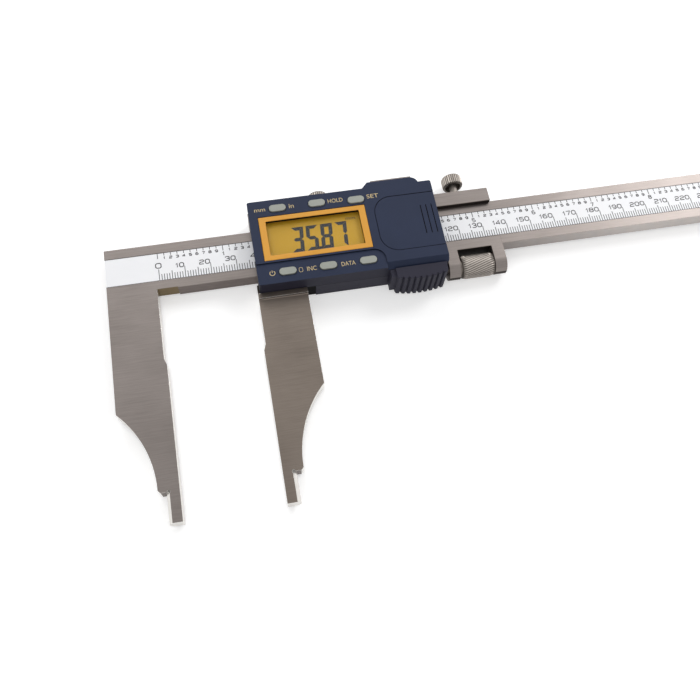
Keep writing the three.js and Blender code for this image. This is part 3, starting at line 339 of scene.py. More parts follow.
# painted reflection on the beam's underside, lighter along X
underReflection = {"start": -0.09, "end": 0.0, "tone": rgb(196, 190, 186)}
mouldedGrain, fineGrain = 0.00002, 0.00001
finishes = {
    "steel": steelFinish(
        "brushedSteel", rgb(92, 86, 82), rgb(152, 144, 140), 0.36, longGrain),
    "frameSteel": steelFinish(
        "frameSteel", rgb(84, 76, 70), rgb(140, 130, 121), 0.38, longGrain),
    "shade": steelFinish(
        "shadedSteel", rgb(84, 76, 72), rgb(128, 118, 114), 0.42, shortGrain),
    # the beam's underside: painted shade, with a painted reflection along X over it
    "beamUnder": steelFinish(
        "beamUnderside", rgb(84, 76, 72), rgb(128, 118, 114), 0.42, shortGrain, reflectionAlongX=underReflection),
    # painted shade: near-black steel for the carriage's undersides and window walls and the root
    # under the housing
    "deep": steelFinish(
        "deepShadeSteel", rgb(30, 26, 24), rgb(62, 55, 50), 0.5, shortGrain),
    "tan": steelFinish(
        "tannedRelief", rgb(90, 77, 54), rgb(126, 109, 78), 0.4, (300, 900, 900)),
    # painted shade along the bevels away from the jaws
    "edgeShade": steelFinish(
        "shadedEdge", rgb(70, 64, 60), rgb(112, 104, 98), 0.34, (120, 600, 600)),
    # ground measuring faces and nib sides, made brighter by a painted highlight
    "ground": steelFinish(
        "groundSteelHighlight", rgb(196, 192, 186), rgb(238, 236, 232), 0.3, (300, 300, 1200)),
    # polished bevels of the jaws and screws, made brighter by a painted highlight
    "edge": steelFinish(
        "polishedEdgeHighlight", rgb(205, 202, 196), rgb(244, 243, 240), 0.2, (200, 200, 200)),
    "turned": steelFinish(
        "turnedSteel", rgb(128, 120, 112), rgb(190, 183, 175), 0.28, (400, 400, 400)),
    "brass": steelFinish(
        "plainBrass", rgb(150, 118, 62), rgb(196, 160, 96), 0.34, (300, 900, 900)),
    "plated": steelFinish(
        "nickelPlate", rgb(176, 174, 168), rgb(214, 212, 206), 0.22, (120, 120, 120)),
    "strip": mouldedFinish(
        "scaleFilm", rgb(240, 241, 244), rgb(250, 250, 252), 0.4, 1400.0, 0.000003),
    "navy": mouldedFinish(
        "housingNavy", rgb(25, 34, 56), rgb(36, 46, 72), 0.46, 2600.0, mouldedGrain, 0.22),
    # painted shade on the housing's outer walls
    "wallShade": mouldedFinish(
        "housingWallShade", rgb(33, 33, 45), rgb(45, 44, 59), 0.55, 2600.0, mouldedGrain, 0.15),
    "navyDark": mouldedFinish(
        "shellNavy", rgb(36, 35, 47), rgb(48, 47, 61), 0.55, 2600.0, mouldedGrain, 0.18),
    "amber": mouldedFinish(
        "bezelAmber", rgb(206, 142, 34), rgb(226, 162, 50), 0.45, 1800.0, fineGrain),
    "button": mouldedFinish(
        "buttonGrey", rgb(140, 143, 136), rgb(164, 167, 158), 0.5, 1500.0, fineGrain),
    "rubber": mouldedFinish(
        "sealRubber", rgb(38, 40, 44), rgb(54, 56, 60), 0.75, 1200.0, mouldedGrain),
    # black parts inside, and painted shade in gaps, steps, seams and walls of the housing
    "black": mouldedFinish(
        "blackMouldingAndShade", rgb(10, 10, 12), rgb(18, 18, 21), 0.6, 1800.0, fineGrain, 0.05),
    "board": boardFinish("circuitBoard"),
    "display": displayFinish("displayOlive"),
    "lens": lensFinish("clearWindow"),
    "ink": printedFinish("scaleInkAndEdgeShadow", rgb(34, 34, 38)),
    "legend": printedFinish("goldLegend", rgb(196, 175, 128)),
    "segment": printedFinish("displaySegment", rgb(34, 38, 42), 0.4),
}
print("finishes made")


def selectOnly(piece):
    bpy.ops.object.select_all(action="DESELECT")
    piece.select_set(True)
    bpy.context.view_layer.objects.active = piece


def applied(piece, kind, **settings):
    selectOnly(piece)
    modifier = piece.modifiers.new(kind.lower(), kind)
    for key, value in settings.items():
        setattr(modifier, key, value)
    bpy.ops.object.modifier_apply(modifier=modifier.name)
    return piece


def settled(piece, name, finish, body, replaced=()):
    # names a finished piece, gives it its finish and fixes it to its body
    piece.name = name
    piece.data.name = name
    if finish:
        piece.data.materials.clear()
        piece.data.materials.append(finishes[finish])
    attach(piece, body)
    if replaced:
        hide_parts(*replaced)
    return piece


def smoothed(piece, angle=38):
    selectOnly(piece)
    bpy.ops.object.shade_smooth_by_angle(angle=math.radians(angle))
    applied(piece, "WEIGHTED_NORMAL", keep_sharp=True, weight=80)
    return piece


weld = {"gap": 0.002 * mm, "flat": 0.6}  # the angle is in degrees, as below
rounding = {"sharp": 28, "weak": 0.3, "corners": 16, "segments": 2}


def meshCopy(node):
    # a welded copy of a CAD node with its flat faces made whole again
    mesh = nodes[node].data.copy()
    mesh.materials.clear()
    piece = bpy.data.objects.new(node + "_look", mesh)
    bpy.context.scene.collection.objects.link(piece)
    selectOnly(piece)
    bpy.ops.object.mode_set(mode="EDIT")
    bpy.ops.mesh.select_all(action="SELECT")
    bpy.ops.mesh.remove_doubles(threshold=weld["gap"])
    bpy.ops.mesh.dissolve_limited(angle_limit=math.radians(weld["flat"]))
    bpy.ops.mesh.select_all(action="DESELECT")
    bpy.ops.object.mode_set(mode="OBJECT")
    if mesh.has_custom_normals:
        bpy.ops.mesh.customdata_custom_splitnormals_clear()
    return piece


def softened(node, look):
    # a CAD node with its sharp edges rounded: strong edges take the whole width, and
    # faces with many corners are cut up first
    look = {**rounding, **look}
    piece = meshCopy(node)
    work = bmesh.new()
    work.from_mesh(piece.data)
    weights = work.edges.layers.float.get("bevel_weight_edge")
    weights = weights or work.edges.layers.float.new("bevel_weight_edge")
    strong = look.get("strong")
    for edge in work.edges:
        if len(edge.link_faces) != 2 or edge.calc_face_angle(0.0) < math.radians(look["sharp"]):
            continue
        isStrong = strong(edge) if strong else True
        edge[weights] = 1.0 if isStrong else look["weak"]
    crowded = [face for face in work.faces if len(face.verts) > look["corners"]]
    bmesh.ops.triangulate(work, faces=crowded)
    work.to_mesh(piece.data)
    work.free()
    piece.data.materials.append(finishes[look["finish"]])
    settings = {
        "width": look["width"],
        "segments": look["segments"],
        "limit_method": "WEIGHT",
        "use_clamp_overlap": True,
        "miter_outer": "MITER_ARC",
    }
    if look.get("edge"):
        piece.data.materials.append(finishes[look["edge"]])
        settings["material"] = 1
    applied(piece, "BEVEL", **settings)
    if look.get("side"):
        paintSides(piece, look)
    smoothed(piece)
    settled(piece, node + "_look", None, nodes[node]["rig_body"], [node])
    return piece


def paintSides(piece, look):
    # measuring faces and nibs are ground bright under a painted highlight, undersides get
    # painted shade, and only the jaws have polished edges with a painted highlight; the
    # other edges get painted shade
    edge = 1
    side, under, relief, edgeShade = range(edge + 1, edge + 5)
    for key in ["side", "under", "relief", "edgeShade"]:
        piece.data.materials.append(finishes[look[key]])
    jawY = fixedFace.y - look["jawStart"]
    nibY = fixedFace.y - look["nibStart"]
    reliefX = fixedFace.x + look["reliefEnd"]
    for face in piece.data.polygons:
        middle, normal = face.center, face.normal
        if face.material_index == edge:
            if middle.y > jawY:
                face.material_index = edgeShade
        elif middle.y < nibY and 0.1 < abs(normal.z) < 0.97:
            face.material_index = side
        elif abs(normal.z) < 0.2:
            if middle.y < nibY or abs(normal.x) > 0.5 and middle.y < jawY:
                face.material_index = side
            else:
                isBelow = normal.y < -0.5 and middle.y > jawY
                onRelief = isBelow and fixedFace.x < middle.x < reliefX
                face.material_index = relief if onRelief else under


def addFinish(piece, finish):
    # another finish on a piece, and the number of its slot
    piece.data.materials.append(finishes[finish])
    return len(piece.data.materials) - 1


wallLook = {"edgeWidth": 0.6 * mm, "edgeDepth": 1.1 * mm}


def paintWalls(piece, topZ, sunk=None):
    # painted shade: the outer walls a little darker than the front, and the lower edge, gaps,
    # steps and whatever is sunk this far below the top nearly black
    wallShade, gap = addFinish(piece, "wallShade"), addFinish(piece, "black")
    edgeY, edgeZ = coverLow.y + wallLook["edgeWidth"], topZ - wallLook["edgeDepth"]
    for face in piece.data.polygons:
        middle, normal = face.center, face.normal
        isRounded = normal.y < -0.2 and normal.z > 0.2
        if isRounded and middle.y < edgeY and middle.z > edgeZ:
            face.material_index = gap
        elif isOnRim(middle):
            if normal.y < -0.5:
                face.material_index = wallShade
        elif sunk and middle.z < topZ - sunk or abs(normal.z) < 0.3:
            face.material_index = gap


seamLook = {"tongue": 3.1 * mm, "edge": 0.4 * mm}


def paintSeam(piece):
    # the rounded top edge and the tongue beside the jaw root lie in the seam's shadow
    seam = addFinish(piece, "black")
    low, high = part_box("base_shell")
    for face in piece.data.polygons:
        isTongue = face.center.x < low.x + seamLook["tongue"]
        isTopEdge = face.normal.z > 0.2 and face.center.z > high.z - seamLook["edge"]
        if isTongue or isTopEdge:
            face.material_index = seam


rootLook = {"wide": 20 * mm, "high": 5 * mm}


def paintRoot(piece):
    # the jaw root's face under the housing's lower left corner lies in its shadow
    shaded = addFinish(piece, "deep")
    rightX, topY = coverLow.x + rootLook["wide"], coverLow.y + rootLook["high"]
    for face in piece.data.polygons:
        middle = face.center
        if middle.x < rightX and coverLow.y < middle.y < topY and face.normal.z > 0.5:
            face.material_index = shaded


def plainFinish(names, finish):
    for name in names:
        mesh = nodes[name].data
        mesh.materials.clear()
        mesh.materials.append(finishes[finish])


def atFixed(x, y, z):
    return fixedFace + Vector((x, y, z)) * mm


def atMoving(x, y, z):
    return movingFace + Vector((x, y, z)) * mm


# steel: beam, jaws, frame, carriage and end stop
steelLook = {
    "finish": "steel", "edge": "edge", "side": "ground", "under": "beamUnder",
    "relief": "tan", "edgeShade": "edgeShade", "width": 0.18 * mm, "slot": "beam_steel",
    "jawStart": 14 * mm, "nibStart": 88.6 * mm, "reliefEnd": 7.5 * mm,
}
# painted shade: the frame's undersides; on the carriage its sides and edges, and darker still
# its undersides
frameLook = dict(steelLook, finish="frameSteel", under="shade")
carriageLook = dict(steelLook, edge="edgeShade", side="shade", under="deep")
softened("main_beam", steelLook)
softened("end_stop_plate", steelLook)
sliderPiece = softened("slider_frame", frameLook)
softened("carriage_frame", carriageLook)
softened("data_port_cover", carriageLook)
print("steel pieces rounded")

# housing mouldings
coverLow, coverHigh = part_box("front_cover")
coverFront = coverHigh.z


rim = {"depth": 0.05 * mm, "reach": 0.1 * mm, "hump": 2.5 * mm}


def onCoverRim(edge):
    middle = (edge.verts[0].co + edge.verts[1].co) / 2
    return middle.z > coverFront - rim["depth"] and isOnRim(middle)


def isOnRim(point):
    # at the housing's outline, the hump over the data port with it
    sides = [point.x - coverLow.x, coverHigh.x - point.x, point.y - coverLow.y]
    return min(sides) < rim["reach"] or point.y > coverHigh.y - rim["hump"] - rim["reach"]


coverLook = {
    "finish": "navy", "width": 0.5 * mm, "weak": 0.25, "segments": 3, "slot": "housing",
    "strong": onCoverRim,
}
paintWalls(softened("front_cover", coverLook), coverFront)
paintRoot(sliderPiece)
shellLook = {"finish": "navyDark", "width": 0.35 * mm, "slot": "housing"}
paintSeam(softened("base_shell", shellLook))
softened("thumb_grip", dict(shellLook, width=0.3 * mm))
lidLook = {"finish": "navy", "width": 0.15 * mm, "slot": "housing", "groove": 0.12 * mm}
paintWalls(softened("battery_cover", lidLook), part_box("battery_cover")[1].z, lidLook["groove"])
bezelLook = {
    "finish": "amber", "width": 0.25 * mm, "segments": 3, "corners": 5, "slot": "bezel",
}
bezel = softened("lcd_bezel", bezelLook)
# painted shade: the bezel's upright walls nearly black
bezelWallShade = addFinish(bezel, "black")
for face in bezel.data.polygons:
    if abs(face.normal.z) < 0.35:
        face.material_index = bezelWallShade
buttonLook = {"finish": "button", "width": 0.45 * mm, "segments": 4, "slot": "buttons"}
for name in ["unit", "hold", "set", "power_zero", "increment", "data"]:
    softened("button_" + name, buttonLook)
print("housing pieces rounded")

# small screws, rod and everything inside
screwLook = {"finish": "turned", "edge": "edge", "width": 0.12 * mm, "slot": "screw_steel"}
for name in ["end_stop_screw_1", "end_stop_screw_2", "data_cover_screw_1", "data_cover_screw_2"]:
    softened(name, screwLook)
for index in range(1, 5):
    softened(f"housing_screw_{index}", dict(screwLook, width=0.1 * mm))
plainFinish(["adjust_rod", "gib_set_screw_1", "gib_set_screw_2"], "turned")
plainFinish(["gib_strip", "lock_pad", "clamp_shoe"], "brass")
plainFinish(["sensor_board", "main_board"], "board")
plainFinish(["keypad_upper", "keypad_lower", "zebra_strip_upper", "zebra_strip_lower"], "rubber")
plainFinish(["board_gasket", "battery_seal"], "rubber")
plainFinish(["processor_chip", "data_connector", "battery_holder"], "black")
plainFinish(["coin_cell", "cell_spring", "cell_side_contact"], "plated")
plainFinish(["lcd_panel"], "display")
plainFinish(["lcd_window"], "lens")
plainFinish(["scale_strip"], "strip")
print("inside pieces finished")


def knurled(look):
    # a drum with raised knurling: rows and ribs are cut by subdividing a cylinder's side,
    # then every other corner is pulled in
    length = look["length"]
    sides = look["ribs"] * 2
    bpy.ops.object.select_all(action="DESELECT")
    bpy.ops.mesh.primitive_cylinder_add(vertices=sides, radius=look["radius"], depth=length)
    piece = bpy.context.object
    bpy.ops.object.mode_set(mode="EDIT")
    work = bmesh.from_edit_mesh(piece.data)
    for edge in work.edges:
        edge.select = abs(edge.verts[0].co.z - edge.verts[1].co.z) > length / 2
    bmesh.update_edit_mesh(piece.data)
    bpy.ops.mesh.subdivide(number_cuts=look["rows"] - 1)
    work = bmesh.from_edit_mesh(piece.data)
    step = math.pi / look["ribs"]
    for corner in work.verts:
        flat = Vector((corner.co.x, corner.co.y))
        turn = round(math.atan2(flat.y, flat.x) / step)
        row = round((corner.co.z + length / 2) / (length / look["rows"]))
        sunk = look["depth"] if (turn + row * look["diamond"]) % 2 else 0.0
        if row in (0, look["rows"]):
            sunk = look["chamfer"]
        flat *= (flat.length - sunk) / flat.length
        corner.co.x, corner.co.y = flat
    bmesh.update_edit_mesh(piece.data)
    bpy.ops.object.mode_set(mode="OBJECT")
    return piece


def laid(piece, axis, centre):
    # turns a piece built along Z to lie along X or Y and puts its place in its mesh
    quarter = math.pi / 2
    turns = {"X": Matrix.Rotation(quarter, 4, "Y"), "Y": Matrix.Rotation(-quarter, 4, "X")}
    piece.data.transform(Matrix.Translation(centre) @ turns[axis])
    piece.matrix_world = Matrix.Identity(4)
    return piece


def rod(radius, length, sides, offset=0.0):
    bpy.ops.object.select_all(action="DESELECT")
    bpy.ops.mesh.primitive_cylinder_add(vertices=sides, radius=radius, depth=length)
    piece = bpy.context.object
    piece.data.transform(Matrix.Translation((0, 0, offset)))
    return piece


def cutAway(piece, cutter):
    applied(piece, "BOOLEAN", operation="DIFFERENCE", object=cutter, solver="EXACT")
    bpy.data.objects.remove(cutter)
    return piece


def merged(piece, other):
    applied(piece, "BOOLEAN", operation="UNION", object=other, solver="EXACT")
    bpy.data.objects.remove(other)
    return piece


# fine-adjust nut: long diamond knurl, a bore for the rod and a thrust collar on its left
nutLook = {
    "ribs": 32, "rows": 9, "depth": 0.42 * mm, "diamond": 1, "chamfer": 0.4 * mm,
    "collar": 0.7 * mm, "collarRadius": 3 * mm, "bore": 1.6 * mm, "into": 0.5 * mm,
}
# painted highlight on knurl crests and painted shade in the grooves
crestHighlight, grooveShade = rgb(196, 188, 180), rgb(60, 54, 50)
knurlAngle = 20  # degrees; flatter edges are smoothed


def makeNut():
    low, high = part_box("adjust_nut")
    centre = (low + high) / 2
    radius = (high.z - low.z) / 2
    nutLook["radius"] = radius
    nutLook["length"] = high.x - low.x - nutLook["collar"]
    drum = knurled(nutLook)
    collarLength = nutLook["collar"] + nutLook["into"]
    collarPlace = -nutLook["length"] / 2 - nutLook["collar"] + collarLength / 2
    drum = merged(drum, rod(nutLook["collarRadius"], collarLength, 40, collarPlace))
    drum = cutAway(drum, rod(nutLook["bore"], (high.x - low.x) * 2, 28))
    laid(drum, "X", centre + Vector((nutLook["collar"] / 2, 0, 0)))
    smoothed(drum, knurlAngle)
    deep = radius - nutLook["depth"]
    knurl = knurlFinish("nutKnurl", grooveShade, crestHighlight, 0, centre, deep, radius)
    drum.data.materials.clear()
    drum.data.materials.append(knurl)
    settled(drum, "adjust_nut_look", None, "adjust_nut", ["adjust_nut"])


knobLook = {
    "ribs": 30, "rows": 8, "depth": 0.32 * mm, "diamond": 0, "chamfer": 0.4 * mm,
    "dishRadius": 2.9 * mm, "dishDepth": 0.35 * mm, "hollowRadius": 3.3 * mm,
    "hollowDepth": 2.2 * mm, "shankRadius": 1.5 * mm, "into": 0.4 * mm,
}


def makeThumbScrew(node, length):
    # straight knurl, a dished outer face, a hollow inner end and a plain shank
    low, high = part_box(node)
    centre = (low + high) / 2
    look = dict(knobLook, radius=(high.x - low.x) / 2, length=length)
    drum = knurled(look)
    drum = cutAway(drum, rod(look["dishRadius"], look["dishDepth"] * 2, 40, length / 2))
    drum = cutAway(drum, rod(look["hollowRadius"], look["hollowDepth"] * 2, 40, -length / 2))
    root = look["hollowDepth"] + look["into"]
    shankLength = high.y - low.y - length + root
    shankPlace = -length / 2 + root - shankLength / 2
    drum = merged(drum, rod(look["shankRadius"], shankLength, 28, shankPlace))
    laid(drum, "Y", Vector((centre.x, high.y - length / 2, centre.z)))
    smoothed(drum, knurlAngle)
    deep = look["radius"] - look["depth"]
    knurl = knurlFinish(node + "Knurl", grooveShade, crestHighlight, 1, centre, deep, look["radius"])
    drum.data.materials.clear()
    drum.data.materials.append(knurl)
    settled(drum, node + "_look", None, node, [node])


makeNut()
makeThumbScrew("lock_screw", 5.3 * mm)
makeThumbScrew("clamp_screw", 4.4 * mm)
print("knurled pieces made")


# printing: flat letters and bars, one or two hundredths of a millimetre thick
letterCache = {}
letterDepth = 0.01  # half a letter's thickness before it is scaled


def letterMesh(text, widen):
    # corner points and faces of a word one unit high, from its left end
    key = (text, widen)
    if key not in letterCache:
        bpy.ops.object.select_all(action="DESELECT")
        bpy.ops.object.text_add(location=(0, 0, 0))
        word = bpy.context.object
        word.data.body = text
        word.data.resolution_u = 3
        word.data.extrude = letterDepth
        bpy.ops.object.convert(target="MESH")
        word = bpy.context.object
        points = [Vector((v.co.x * widen, v.co.y, v.co.z)) for v in word.data.vertices]
        faces = [tuple(face.vertices) for face in word.data.polygons]
        bpy.data.objects.remove(word)
        letterCache[key] = (points, faces)
    return letterCache[key]


class PrintSheet:
    # gathers words and bars that share one ink into one thin piece
    def __init__(self, thickness):
        self.thickness = thickness
        self.points = []
        self.faces = []

    def add(self, points, faces):
        start = len(self.points)
        self.points.extend(points)
        self.faces.extend(tuple(start + i for i in face) for face in faces)

    def word(self, text, place, size, widen):
        # centred on its place
        points, faces = letterMesh(text, widen)
        low = min(p.x for p in points)
        high = max(p.x for p in points)
        shift = low + (high - low) * 0.5
        half = self.thickness / 2
        self.add([
            place + Vector(((p.x - shift) * size, p.y * size, half + p.z / letterDepth * half))
            for p in points
        ], faces)

    def bar(self, low, high):
        outline = [(low.x, low.y), (high.x, low.y), (high.x, high.y), (low.x, high.y)]
        self.plate(outline, low.z)

    def ribbon(self, path, width):
        # a line of even width through points on one level; a path that ends where it
        # starts is closed
        closed = path[0] == path[-1]
        path = path[:-1] if closed else path
        count = len(path)
        corners = []
        for i, here in enumerate(path):
            ways = []
            if i or closed:
                ways.append((here - path[i - 1]).normalized())
            if i < count - 1 or closed:
                ways.append((path[(i + 1) % count] - here).normalized())
            way = sum(ways, Vector((0, 0, 0))).normalized()
            side = Vector((-way.y, way.x, 0)) * width / 2 / max(0.6, way.dot(ways[0]))
            rise = Vector((0, 0, self.thickness))
            corners += [here + side, here - side, here + side + rise, here - side + rise]
        faces = []
        for i in range(count if closed else count - 1):
            a, b = 4 * i, 4 * ((i + 1) % count)
            faces += [(a, a + 1, b + 1, b), (a + 2, b + 2, b + 3, a + 3)]
            faces += [(a, b, b + 2, a + 2), (a + 1, a + 3, b + 3, b + 1)]
        if not closed:
            last = 4 * (count - 1)
            faces += [(0, 2, 3, 1), (last, last + 1, last + 3, last + 2)]
        self.add(corners, faces)

    def figures(self, text, place, look, align=0.5):
        # engraved-style square figures, drawn with one line width
        high, wide, line = look["high"] * mm, look["wide"] * mm, look["line"] * mm
        widths = [wide * (narrowOne if digit == "1" else 1.0) for digit in text]
        x = place.x - (sum(widths) + look["gap"] * mm * (len(text) - 1)) * align
        for digit, width in zip(text, widths):
            left, bottom = x + line / 2, place.y + line / 2
            for path in figurePaths[digit]:
                self.ribbon([
                    Vector((left + px * (width - line), bottom + py * (high - line), place.z))
                    for px, py in path
                ], line)
            x += width + look["gap"] * mm

    def plate(self, outline, z):
        # a flat shape of any outline, counterclockwise, raised by the thickness
        count = len(outline)
        corners = [Vector((x, y, z)) for x, y in outline]
        corners += [Vector((x, y, z + self.thickness)) for x, y in outline]
        faces = [tuple(reversed(range(count))), tuple(range(count, 2 * count))]
        faces += [(i, (i + 1) % count, count + (i + 1) % count, count + i) for i in range(count)]
        self.add(corners, faces)

    def piece(self, name, finish, body, slot):
        mesh = bpy.data.meshes.new(name)
        mesh.from_pydata(self.points, [], self.faces)
        made = bpy.data.objects.new(name, mesh)
        bpy.context.scene.collection.objects.link(made)
        selectOnly(made)
        bpy.ops.object.mode_set(mode="EDIT")
        bpy.ops.mesh.select_all(action="SELECT")
        bpy.ops.mesh.remove_doubles(threshold=0.0005 * mm)
        bpy.ops.mesh.normals_make_consistent(inside=False)
        bpy.ops.object.mode_set(mode="OBJECT")
        return settled(made, name, finish, body)


narrowOne = 0.55  # a one's width as a share of the others'
figurePaths = {
    "0": [
        [(0.25, 0), (0.75, 0), (1, 0.2), (1, 0.8), (0.75, 1), (0.25, 1), (0, 0.8), (0, 0.2),
         (0.25, 0)],
    ],
    "1": [[(0, 0.7), (0.7, 1), (0.7, 0)]],
    "2": [
        [(0, 0.84), (0.22, 1), (0.78, 1), (1, 0.84), (1, 0.66), (0.8, 0.53), (0.2, 0.46),
         (0, 0.32), (0, 0), (1, 0)],
    ],
    "3": [
        [(0, 0.84), (0.22, 1), (0.78, 1), (1, 0.84), (1, 0.67), (0.8, 0.53), (0.35, 0.53)],
        [(0.7, 0.51), (0.82, 0.51), (1, 0.36), (1, 0.16), (0.78, 0), (0.22, 0), (0, 0.16)],
    ],
    "4": [[(0.78, 0), (0.78, 1), (0, 0.32), (0, 0.27), (1, 0.27)]],
    "5": [
        [(0.95, 1), (0.08, 1), (0.04, 0.56), (0.78, 0.58), (1, 0.42), (1, 0.16), (0.78, 0),
         (0.22, 0), (0, 0.14)],
    ],
    "6": [
        [(0.9, 1), (0.3, 1), (0, 0.76), (0, 0.2), (0.22, 0), (0.78, 0), (1, 0.18), (1, 0.42),
         (0.78, 0.57), (0.05, 0.57)],
    ],
    "7": [[(0, 1), (1, 1), (0.42, 0)]],
    "8": [
        [(0.22, 0.54), (0.78, 0.54), (0.96, 0.68), (0.96, 0.86), (0.78, 1), (0.22, 1),
         (0.04, 0.86), (0.04, 0.68), (0.22, 0.54)],
        [(0.24, 0), (0.76, 0), (1, 0.16), (1, 0.37), (0.76, 0.52), (0.24, 0.52), (0, 0.37),
         (0, 0.16), (0.24, 0)],
    ],
    "9": [
        [(0.1, 0), (0.7, 0), (1, 0.24), (1, 0.8), (0.78, 1), (0.22, 1), (0, 0.82), (0, 0.58),
         (0.22, 0.43), (0.95, 0.43)],
    ],
}
scaleLook = {
    # all in millimetres: heights are from the beam's centre line, lift is over the film
    "zero": 0.46, "lowEdge": -6.0, "highEdge": 5.9, "span": 300, "line": 0.27,
    "thickness": 0.01, "lift": 0.004, "edgeShadow": 0.16,
    "tickLengths": {10: 4.9, 5: 3.7, 1: 2.7},
    "inch": 25.4, "inches": 12, "inchTick": 2.4, "tenthTick": 1.2,
    "number": {"high": 2.15, "wide": 1.95, "line": 0.36, "gap": 0.3, "rise": 4.55, "left": 0.15},
    "nought": {"high": 2.45, "wide": 2.45, "line": 0.38, "gap": 0.3, "rise": 5.25},
    "whole": {"high": 1.9, "wide": 1.5, "line": 0.33, "gap": 0.3, "drop": 4.75},
    "tenth": {"high": 1.3, "wide": 1.25, "line": 0.3, "gap": 0.3, "drop": 2.9},
}


def makeScale():
    look = scaleLook
    sheet = PrintSheet(look["thickness"] * mm)
    stripLow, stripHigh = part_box("scale_strip")
    z = (stripHigh.z - frontZ) / mm + look["lift"]
    half = look["line"] / 2
    low = look["lowEdge"]
    for step in range(look["span"] + 1):
        x = look["zero"] + step
        length = look["tickLengths"][10 if step % 10 == 0 else 5 if step % 5 == 0 else 1]
        sheet.bar(atFixed(x - half, low, z), atFixed(x + half, low + length, z))
        if step == 0:
            nought = look["nought"]
            sheet.figures("0", atFixed(x, low + nought["rise"], z), nought)
        elif step % 10 == 0:
            number = look["number"]
            place = atFixed(x - number["left"], low + number["rise"], z)
            sheet.figures(str(step), place, number, 1.0)
    high = look["highEdge"]
    for step in range(look["inches"] * 10 + 1):
        x = look["zero"] + step * look["inch"] / 10
        isWhole = step % 10 == 0
        length = look["inchTick"] if isWhole else look["tenthTick"]
        sheet.bar(atFixed(x - half, high - length, z), atFixed(x + half, high, z))
        if step:
            kind = look["whole"] if isWhole else look["tenth"]
            digit = str(step // 10 if isWhole else step % 10)
            sheet.figures(digit, atFixed(x, high - kind["drop"], z), kind)
    # painted shadow: a thin dark line where the film meets the edges of its seat
    edgeShadow = look["edgeShadow"] * mm
    for y in (stripLow.y, stripHigh.y - edgeShadow):
        lowCorner = Vector((stripLow.x, y, atFixed(0, 0, z).z))
        sheet.bar(lowCorner, lowCorner + Vector((stripHigh.x - stripLow.x, edgeShadow, 0)))
    sheet.piece("scale_print_and_edge_shadow", "ink", "beam", "scale_face")


makeScale()
print("scale printed")


# display figures: slanted seven-bar digits on the panel under the window
displayLook = {
    # in millimetres from the moving jaw's face and the beam's centre line
    "height": 9.6, "width": 3.2, "bar": 1.5, "gap": 0.03, "slant": 0.08,
    "baseline": -4.15, "right": 37.75, "pitch": 5.74, "dot": 1.3,
    "thickness": 0.02, "lift": 0.01,
    "unit": {"place": (41.2, 6.5), "size": 2.4, "widen": 1.1},
}
bars = {"3": "abgcd", "5": "afgcd", "7": "abc", "8": "abcdefg"}


def barOutline(name, look):
    # three bars are drawn and the others are their mirror images; outer corners are mitred
    high, wide, half, gap = look["height"], look["width"], look["bar"] / 2, look["gap"]
    middle = high / 2
    if name in "ad":
        outline = [
            (gap - half, high + half), (gap + half, high - half),
            (wide - half - gap, high - half), (wide + half - gap, high + half),
        ]
    elif name == "g":
        outline = [
            (gap, middle), (gap + half, middle - half), (wide - half - gap, middle - half),
            (wide - gap, middle), (wide - half - gap, middle + half),
            (gap + half, middle + half),
        ]
    else:
        outline = [
            (wide + half, high + half - gap), (wide - half, high - half - gap),
            (wide - half, middle + half + gap), (wide, middle + gap),
            (wide + half, middle + half + gap),
        ]
    if name in "cde":
        outline = [(x, high - y) for x, y in outline]
    if name in "ef":
        outline = [(wide - x, y) for x, y in outline]
    return outline


def makeReading():
    look = displayLook
    sheet = PrintSheet(look["thickness"] * mm)
    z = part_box("lcd_panel")[1].z + look["lift"] * mm
    for index, digit in enumerate(reversed("3587")):
        left = look["right"] - look["width"] - index * look["pitch"]
        for name in bars[digit]:
            outline = []
            for x, y in barOutline(name, look):
                place = atMoving(left + x + y * look["slant"], look["baseline"] + y, 0)
                outline.append((place.x, place.y))
            sheet.plate(outline, z)
    # the decimal point stands midway between the second and the third digit
    dotX = look["right"] - 2 * look["pitch"] + (look["pitch"] - look["width"]) / 2
    dotY = look["baseline"] - look["bar"] / 2
    dotLow = atMoving(dotX - look["dot"] / 2, dotY, 0)
    dotHigh = atMoving(dotX + look["dot"] / 2, dotY + look["dot"], 0)
    dotLow.z = z
    sheet.bar(dotLow, dotHigh)
    unit = atMoving(*look["unit"]["place"], 0)
    unit.z = z
    sheet.word("mm", unit, look["unit"]["size"] * mm, look["unit"]["widen"])
    sheet.piece("display_reading", "segment", "slider", "display")


makeReading()
print("reading drawn")


# legends beside the buttons, and the power sign
legendLook = {
    # in millimetres: words are placed by the middle of their foot
    "thickness": 0.01, "lift": 0.005, "panelDrop": 0.5,
    "above": [("mm", 6.4, 13.9, 2.6, 1.15), ("in", 18.9, 13.9, 2.9, 1.1),
              ("HOLD", 36.4, 13.9, 2.6, 0.86), ("SET", 51.4, 13.8, 2.6, 1.2)],
    "below": [("INC", 22.5, -14.4, 2.6, 0.86), ("DATA", 36.7, -14.4, 2.6, 0.8)],
    "nought": {"high": 2.0, "wide": 1.5, "line": 0.15, "gap": 0.3, "place": (18.3, -14.5)},
}
powerLook = {
    "place": (7.4, -13.4), "outer": 1.12, "inner": 0.84, "opening": 38, "steps": 20,
    "barWidth": 0.26, "barLow": 0.15, "barHigh": 1.15,
}


def makeLegends():
    look = legendLook
    sheet = PrintSheet(look["thickness"] * mm)
    coverZ = (coverFront - frontZ) / mm + look["lift"]
    panelZ = coverZ - look["panelDrop"]
    for words, z in [(look["above"], coverZ), (look["below"], panelZ)]:
        for text, x, y, size, widen in words:
            sheet.word(text, atMoving(x, y, z), size * mm, widen)
    sheet.figures("0", atMoving(*look["nought"]["place"], panelZ), look["nought"])
    powerSign(sheet, panelZ)
    sheet.piece("housing_legends", "legend", "slider", "housing")


